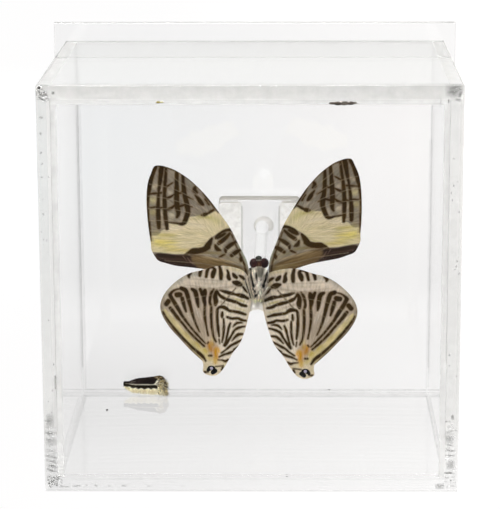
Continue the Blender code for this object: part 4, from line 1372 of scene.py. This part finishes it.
# %% Thorax, head and legs
body_low, body_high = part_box("body")
MIDLINE = (body_low.x + body_high.x) / 2 / MM
TAIL = 48.86
THORAX_DEPTH = 12.4
COAT = [
    (0.6, 7.9, 1.5, .95, 90, "#6F6C63", .95), (0.4, 9.1, .6, .4, 90, "#807B71", .8),
    (-1.15, 7.9, 1.3, .4, 92, "#D8D2C7", .95), (1.95, 8.3, 1.0, .45, 80, "#DAD5CC", .95),
    (0.25, 4.95, 1.6, .95, 90, "#DAD2CC", .95), (0.45, 2.4, 1.5, .8, 90, "#DCD5CA", .92),
    (-1.0, 4.6, .9, .3, 95, "#D8D2C7", .8), (-1.45, 2.6, 1.2, .28, 104, "#D2CABC", .8),
    (-2.45, 5.3, 1.6, .28, 103, "#C2B8A9", .8), (2.9, 6.0, 1.6, .3, 66, "#C2BAA9", .8),
    (-2.1, 8.8, .5, .45, 90, "#140F09", .98), (-1.65, 6.0, 2.2, .28, 102, "#120C06", .99),
    (-1.2, 4.4, .6, .3, 100, "#100D09", .98), (-2.75, 5.6, 1.4, .26, 104, "#1A140E", .95),
    (-0.5, 6.8, 1.2, .26, 94, "#14110D", .98), (2.15, 7.3, .7, .38, 70, "#0F0C09", .98),
    (1.75, 5.7, 1.4, .34, 70, "#0F0C08", .98), (1.3, 4.2, .6, .48, 80, "#0C0906", .99),
    (2.25, 4.9, .5, .3, 60, "#F6F2EA", .95), (1.95, 3.7, .4, .25, 60, "#F0EBE2", .9),
    (2.5, 2.6, 1.3, .32, 50, "#15110C", .97), (-0.65, 1.6, .6, .4, 70, "#0E0B07", .99),
    (-0.9, 2.8, .45, .26, 110, "#15110C", .96), (-0.05, 2.5, .5, .16, 85, "#5A544A", .8),
    (-2.3, 2.6, 3.0, .3, 103, "#1C1611", .97), (-2.95, 4.4, 1.3, .24, 108, "#211A14", .93),
    (-0.1, -0.3, 2.1, .85, 0, "#DFD9BC", .95), (0.95, -0.4, .45, .2, 60, "#3A3224", .9),
    (-1.5, -0.1, .9, .14, 120, "#4A4236", .8), (2.6, 5.2, .9, .2, 55, "#2A231B", .9),
    (-1.35, 3.3, .35, .2, 100, "#1C1711", .9), (0.8, 3.6, .7, .1, 80, "#8B857A", .8),
    (-0.3, 5.6, .8, .1, 95, "#A49C92", .8), (0.7, 6.0, .3, .2, 60, "#6E685E", .8),
]
THORAX = [(0.5, 0), (0.95, 0.9), (1.4, 2.2), (1.8, 3.8), (2.1, 5.4), (2.3, 7), (2.25, 8.3),
          (1.8, 9.3), (1.1, 10)]


def coat_colour(points):
    """Colour of the coat at points given in millimetres from the tail end."""
    return np.clip(soft_ground(points, "#A79F92", (), COAT, 4) * (1.5, 1.46, 1.4), 0, 0.95)


def tail_points(obj):
    """The vertices as millimetres from the thorax's tail end, as the camera sees them."""
    places = vertex_places(obj) / MM
    return np.column_stack([places[:, 0] - MIDLINE, places[:, 2] - TAIL])


thorax = barrel("thorax", [tuple(ring) for ring in smooth_line(THORAX, steps=9)], 96)
for vertex in thorax.data.vertices:
    lump = 1 + 0.07 * noise.noise(vertex.co * 900)
    vertex.co = Vector((vertex.co.x * lump * 0.96 + MIDLINE * MM,
                        vertex.co.y * lump * 0.9 + depth(THORAX_DEPTH), vertex.co.z + TAIL * MM))
smooth(tint_piece(thorax, coat_colour(tail_points(thorax)) * 0.7))

EYE_Z = 59.05
head = ball("head", (MIDLINE + 0.15, 12.2, EYE_Z - 0.1), (1.25, 1.3, 1.3))
face = [(0.3, 10.5, .8, .6, 0, "#4E3024", .95), (0.33, 9.3, .5, .35, 0, "#A58E70", .9),
        (-0.1, 11.6, 1, .4, 0, "#3A3A33", .8), (-0.1, 9.95, .5, .14, 50, "#A06E4B", .85),
        (0.85, 9.95, .5, .14, 130, "#A06E4B", .85)]
tint_piece(head, soft_ground(tail_points(head), "#3B2E28", (), face))
crown = ball("crown", (MIDLINE + 0.1, 12.2, EYE_Z + 1.35), (0.88, 0.8, 0.55), 16)
tint_piece(crown, linear("#34352E"))
# The pale grey arc under the crown is a painted highlight.
brow_highlight = ball("brow_highlight", (MIDLINE + 0.15, 11.1, EYE_Z + 0.95), (0.75, 0.3, 0.16), 16)
tint_piece(brow_highlight, linear("#6F695F"))
for name, aside, rise, tall in (("left_eye", -1.1, 0, 1.31), ("right_eye", 1.55, 0.05, 1.33)):
    eye = ball(name, (MIDLINE + aside, 11.85, EYE_Z + rise), (1.2, 1.25, tall), 32)
    dress(eye, eye_matter, slot="body_hair")

# The palps are two short horns that stand before the face, and the legs lie folded.
palps, legs = [], []
for side in (-1, 1):
    palp = tube("palp", [(MIDLINE + 0.2 + side * 0.3, 11.4, 58.3, .3),
                         (MIDLINE + 0.2 + side * 0.4, 10.8, 58.8, .28),
                         (MIDLINE + 0.2 + side * 0.4, 10.9, 59.4, .16),
                         (MIDLINE + 0.2 + side * 0.3, 11.0, 59.8, .06)])
    tan = soft_ground(tail_points(palp), "#4E3024", (), [(0.2, 9.2, 1, .35, 0, "#A58E70", .9)])
    palps.append(smooth(tint_piece(palp, tan)))
for points in ([(-2.2, 9.0), (-1.75, 6.6), (-1.2, 4.1)], [(-0.85, 8.7), (-0.8, 7.2), (-0.7, 5.7)],
               [(2.0, 8.1), (1.65, 6.9), (1.25, 5.4)], [(-3.5, 5.8), (-2.8, 3.3), (-1.9, 0.8)],
               [(2.6, 3.9), (1.95, 2.8), (1.2, 1.7)]):
    leg = tube("leg", [(MIDLINE + x, 10.6 + 0.32 * abs(x), TAIL + z, r)
                       for (x, z), r in zip(points, (.22, .24, .12))])
    legs.append(smooth(tint_piece(leg, coat_colour(tail_points(leg)) * 0.8)))
join(thorax, head, crown, brow_highlight, *palps, *legs)
dress(thorax, chitin, slot="body_hair", replaces=("body",))

# %% Coat of hair
dice_np = np.random.default_rng(11)
count = 9000
height = dice_np.uniform(0.1, 9.7, count)
angle = dice_np.uniform(-1.9, 1.9, count)
radius = np.interp(height, [h for _, h in THORAX], [r for r, _ in THORAX])
roots = np.column_stack([MIDLINE + radius * np.sin(angle),
                         FRONT_MM + THORAX_DEPTH - radius * 0.9 * np.cos(angle), TAIL + height])
directions = np.column_stack([0.3 * np.sin(angle), -0.35 * np.cos(angle),
                              np.full(count, -0.9)]) + dice_np.normal(size=(count, 3)) * 0.14
lengths = dice_np.uniform(0.14, 0.42, count) \
    * np.interp(height, [0, 2, 8, 9.7], [1.3, 1, 0.8, 0.6])


def clumped(places, dice, strength=0.7):
    """How light each hair is: hairs stick together in long clumps, and single hairs vary."""
    clumps = np.array([noise.noise(Vector((x * 3.1, z * 0.75, 4))) for x, z in places])
    return np.clip(1 + strength * clumps, 0.35, 1.7)[:, None] \
        * dice.uniform(0.8, 1.2, (len(clumps), 1))


places = np.column_stack([roots[:, 0] - MIDLINE, height - lengths * 0.5])
colours = coat_colour(places) * clumped(places, dice_np, 1.3)
coat = hairs("thorax_hair", roots, directions, lengths, colours, 0.028, 0.1, dice_np)
dress(coat, hair_matter, slot="body_hair")

# A looser fringe runs from the thorax out over the roots of the wings.
count = 2600
side = np.where(dice_np.random(count) < 0.5, -1, 1)
height = dice_np.uniform(-0.2, 8.2, count)
edge_x = np.interp(height, [0, 3, 6, 8.2], [1.1, 1.9, 2.5, 2.3])
roots = np.column_stack([MIDLINE + side * edge_x * dice_np.uniform(0.6, 1.1, count),
                         FRONT_MM + dice_np.uniform(12.6, 14.0, count), TAIL + height])
directions = np.column_stack([side * dice_np.uniform(-0.35, 0.15, count),
                              dice_np.uniform(-0.25, 0.05, count),
                              -dice_np.uniform(0.6, 1.2, count)])
lengths = dice_np.uniform(0.4, 1.1, count)
places = np.column_stack([roots[:, 0] - MIDLINE, height - 0.3])
colours = coat_colour(places) * clumped(places, dice_np)
fringe = hairs("wing_root_hair", roots, directions, lengths, colours, 0.026, 0.15, dice_np)
dress(fringe, hair_matter, slot="body_hair")

# %% [markdown]
# ## Skin between the hindwings
# The inner margins of the hindwings meet in a small cream fold behind the thorax's tail. It is
# drawn from a grid whose lower edge is pulled into a shallow arch.

# %% Fold
fold = primitive("hindwing_fold", bpy.ops.mesh.primitive_grid_add, x_subdivisions=40,
                 y_subdivisions=24, size=2)
for vertex in fold.data.vertices:
    u, v = vertex.co.x, (vertex.co.y + 1) / 2
    bottom = 45.9 - 1.9 * u * u + 0.12 * noise.noise(Vector((u * 5, 3, 0)))
    wave = 0.16 * math.sin(u * 9) * (1 - v)
    vertex.co = Vector(((1.55 + 3.3 * u) * MM, depth(14.55 + wave),
                        (bottom * (1 - v) + 55 * v) * MM))
tint_piece(fold, soft_ground(tail_points(fold), "#EFE7CC", (), [
    (-0.4, 1.2, 3, .4, 0, "#BDB28C", .6), (1.9, 0.2, 1.6, .14, 70, "#5A5242", .6),
    (0.1, -1.3, 2.4, .6, 0, "#F4EFE6", .9), (0.1, -2.4, 3.4, .9, 0, "#FFFAF4", .95)]))
apply_modifier(fold, "SOLIDIFY", thickness=0.14 * MM, offset=0)
dress(smooth(fold), hair_matter, slot="wing_scales")

# %% [markdown]
# ## Abdomen
# It broke off long ago and lies on the floor of the case against the plate, tip to the left. Its
# back is almost black and its belly cream, with a thin pale line between. The broken end is torn
# and hairy. The rings are ellipses read off the photo's outline.

# %% Abdomen
# x, underside, top
RINGS = [(-38.85, 5.75, 6.85), (-38.6, 5.5, 6.98), (-37.9, 5.05, 7.02), (-37.1, 4.55, 7.1),
         (-36, 4.05, 7.5), (-34.5, 3.75, 7.95), (-32.8, 3.5, 8.15), (-31, 3.4, 8.4),
         (-29.4, 3.32, 8.62), (-28.2, 3.3, 8.8), (-27.3, 3.32, 8.3), (-26.6, 3.45, 7.3),
         (-26.05, 3.8, 6.3)]
ABDOMEN_DEPTH = 79.3
# half of the greatest width, from front to back
HALF_WIDTH = 2.15
ABDOMEN_LINE = smooth_line(RINGS, steps=9)
abdomen = barrel("abdomen_shell", [(1, i) for i in range(len(ABDOMEN_LINE))], 110)
for vertex in abdomen.data.vertices:
    x, low, high = ABDOMEN_LINE[int(round(vertex.co.z / MM))]
    tall = (high - low) / 2
    groove = 1 - 0.035 * (1 - abs(math.sin(math.pi * (x + 38.85) / 1.55))) ** 4
    lump = groove * (1 + 0.05 * noise.noise(
        Vector((x * 0.8, vertex.co.x * 900, vertex.co.y * 900))))
    if x > -28:
        lump *= 1 + 0.16 * noise.noise(Vector((x * 2.6, vertex.co.x * 2600, vertex.co.y * 2600)))
    vertex.co = Vector((x * MM, depth(ABDOMEN_DEPTH) + vertex.co.y * min(tall, HALF_WIDTH) * lump,
                        ((high + low) / 2 + vertex.co.x / MM * tall * lump) * MM))
face_outward(abdomen)
ABDOMEN_COLOURS = [
    ([(-40, 6.3), (-36, 6.33), (-33, 6.38), (-30, 6.35), (-29.4, 6.7), (-28.6, 7.6), (-26, 8.2),
      (-24, 12), (-40, 12)], "#1E1512", 0.2),
    ([(-39.8, 6.3), (-38, 6.2), (-34, 6.14), (-30.5, 6.16), (-29, 6.2), (-28.7, 5.0), (-30, 5.2),
      (-30.6, 4.8), (-31.4, 5.25), (-32.6, 4.8), (-33.4, 5.2), (-34.4, 4.85), (-35, 5.35),
      (-36, 5.0), (-37, 5.4), (-37.8, 5.3), (-39.8, 5.8)], "#201A0C", 0.2),
]
ABDOMEN_STROKES = [
    (-30.5, 8.4, 1.4, .25, 8, "#3E2E20", .7), (-28.2, 8.3, 1.2, .35, -6, "#93805F", .9),
    (-27.2, 7.4, 1.3, .3, -60, "#33241A", .9), (-28.4, 7.0, 1.0, .25, 40, "#2B1C16", .9),
    (-27.6, 6.9, .5, .22, -50, "#D2C49C", .8), (-26.4, 5.8, 1.5, .2, -75, "#3A2A1A", .9),
    (-27.6, 5.3, 1.3, .55, 80, "#FFF9DC", .95), (-28.6, 6.0, .3, .6, -20, "#3A2A1C", .8),
    (-26.7, 4.5, .6, .4, 0, "#E9D894", .9), (-26.4, 3.9, .3, .3, 0, "#5A452B", .8),
    (-36, 6.9, .8, .12, 12, "#7B756A", .6), (-33.6, 6.26, 4.0, .1, -1, "#A59D8F", .85),
    (-28.8, 4.1, 1, .5, 10, "#FFF4D8", .8), (-31, 3.8, 4, .5, 0, "#FFFCEC", .9),
    (-36.5, 4.9, .9, .3, -20, "#FBFBE0", .8),
]


def abdomen_heights(x):
    """How high the abdomen's underside and its back are at these places along it."""
    return (np.interp(x, ABDOMEN_LINE[:, 0], ABDOMEN_LINE[:, 1]),
            np.interp(x, ABDOMEN_LINE[:, 0], ABDOMEN_LINE[:, 2]))


def abdomen_colour(points):
    """The camera looks down on the bulge, so its middle is drawn lower than its rims."""
    low, high = abdomen_heights(points[:, 0])
    level = np.clip((2 * points[:, 1] - low - high) / (high - low), -1, 1)
    drawn = points[:, 1] - 0.42 * np.sqrt(1 - level ** 2)
    return soft_ground(np.column_stack([points[:, 0], drawn]), "#F6F1DB", ABDOMEN_COLOURS,
                       ABDOMEN_STROKES)


tint_piece(abdomen, abdomen_colour((vertex_places(abdomen) / MM)[:, [0, 2]]))
smooth(abdomen)
dress(abdomen, abdomen_matter, slot="body_hair", replaces=("abdomen",))

# %% Hair on the abdomen
count = 5200
torn = dice_np.random(count) < 0.4
x = np.where(torn, dice_np.uniform(-27.9, -26.1, count), dice_np.uniform(-38.6, -26.4, count))
low, high = abdomen_heights(x)
angle = dice_np.uniform(0, math.pi, count)
z = (low + high) / 2 + (high - low) / 2 * np.cos(angle)
y = FRONT_MM + ABDOMEN_DEPTH - np.minimum((high - low) / 2, HALF_WIDTH) * np.sin(angle)
roots = np.column_stack([x, y, z])
directions = np.where(torn[:, None], np.column_stack([
    dice_np.uniform(-0.1, 0.9, count), dice_np.uniform(-0.6, 0.1, count),
    0.3 * np.cos(angle) - dice_np.uniform(0.2, 1.0, count)]), np.column_stack([
        dice_np.uniform(-1.0, -0.4, count), -0.3 * np.sin(angle), 0.4 * np.cos(angle)]))
directions += dice_np.normal(size=(count, 3)) * 0.22
lengths = np.where(torn, dice_np.uniform(0.4, 1.3, count), dice_np.uniform(0.15, 0.55, count))
places = np.column_stack([x, z])
colours = abdomen_colour(places) * clumped(places * 1.4, dice_np, 1.0)
brown = torn & (dice_np.random(count) < 0.35)
colours[brown] = np.array(linear("#3C2616")) * dice_np.uniform(0.6, 1.5, (brown.sum(), 1))
abdomen_hair = hairs("abdomen_hair", roots, directions, lengths, colours, 0.03, 0.15, dice_np)
dress(abdomen_hair, abdomen_matter, slot="body_hair")

# Thick bristles curl out of the tear, and pale tufts hang from the belly's edge.
BRISTLE_DEPTH = 79.25
count = 460
torn = np.arange(count) < 170
x = np.where(torn, dice_np.uniform(-28.8, -26.2, count), dice_np.uniform(-38.2, -28, count))
low, high = abdomen_heights(x)
up = np.where(torn, dice_np.uniform(0.1, 1.0, count), dice_np.uniform(0.1, 0.4, count))
z = low + (high - low) * up
y = FRONT_MM + BRISTLE_DEPTH \
    - np.minimum((high - low) / 2, HALF_WIDTH) * np.sqrt(1 - (2 * up - 1) ** 2)
roots = np.column_stack([x, y, z])
directions = np.column_stack([np.where(torn, 0.6, -0.25), np.full(count, -0.3),
                              np.where(torn, 1.3 * up - 0.5, -1.0)]) \
    + dice_np.normal(size=(count, 3)) * 0.32
lengths = np.where(torn, dice_np.uniform(0.7, 1.9, count), dice_np.uniform(0.25, 0.7, count))
shades = np.array([linear(c) for c in ("#3A2718", "#E6DDBB", "#57402A", "#D8C68C", "#2B2014")])
picked = np.where(torn, dice_np.integers(0, 5, count), 1)
colours = shades[picked] * dice_np.uniform(0.7, 1.15, (count, 1))
tufts = hairs("abdomen_bristles", roots, directions, lengths, colours, 0.09, 0.55, dice_np)
dress(tufts, abdomen_matter, slot="body_hair")

# %% Dust
# Three specks lie on the floor and a black grain sits in the bruised corner. The rest are two
# small smears in the joint under the lid's front edge. The right one is much longer.
specks = []
for place, radii, tint in (
        ((-42.5, 62.8, 3.35), (.36, .3, .2), "#2C2824"), ((9.4, 4.0, 3.4), (.2, .2, .2), "#2C2824"),
        ((21.8, 81.6, 3.9), (.3, .15, .12), "#2C2824"),
        ((-53.15, 0.9, 106.9), (.36, .25, .3), "#2C2824"),
        ((20.9, 3.0, 102.7), (.9, .12, .36), "#6B6259"),
        ((22.3, 3.0, 102.65), (1.2, .12, .5), "#5A5148"),
        ((23.9, 3.0, 102.7), (1.2, .12, .54), "#6F675E"),
        ((25.4, 3.0, 102.7), (1.1, .12, .46), "#57504A"),
        ((26.5, 3.0, 102.8), (.6, .12, .28), "#7D756B"),
        ((23.0, 3.0, 103.0), (.5, .12, .2), "#C9C3BA"),
        ((25.0, 3.0, 103.0), (.4, .12, .18), "#C9C3BA"),
        ((-23.2, 3.0, 103.0), (.55, .12, .26), "#857A2A"),
        ((-22.3, 3.0, 103.02), (.5, .12, .16), "#B9AE62")):
    specks.append(tint_piece(ball("specks", place, radii, 12), linear(tint)))
join(*specks)
dress(specks[0], chitin, slot="body_hair")
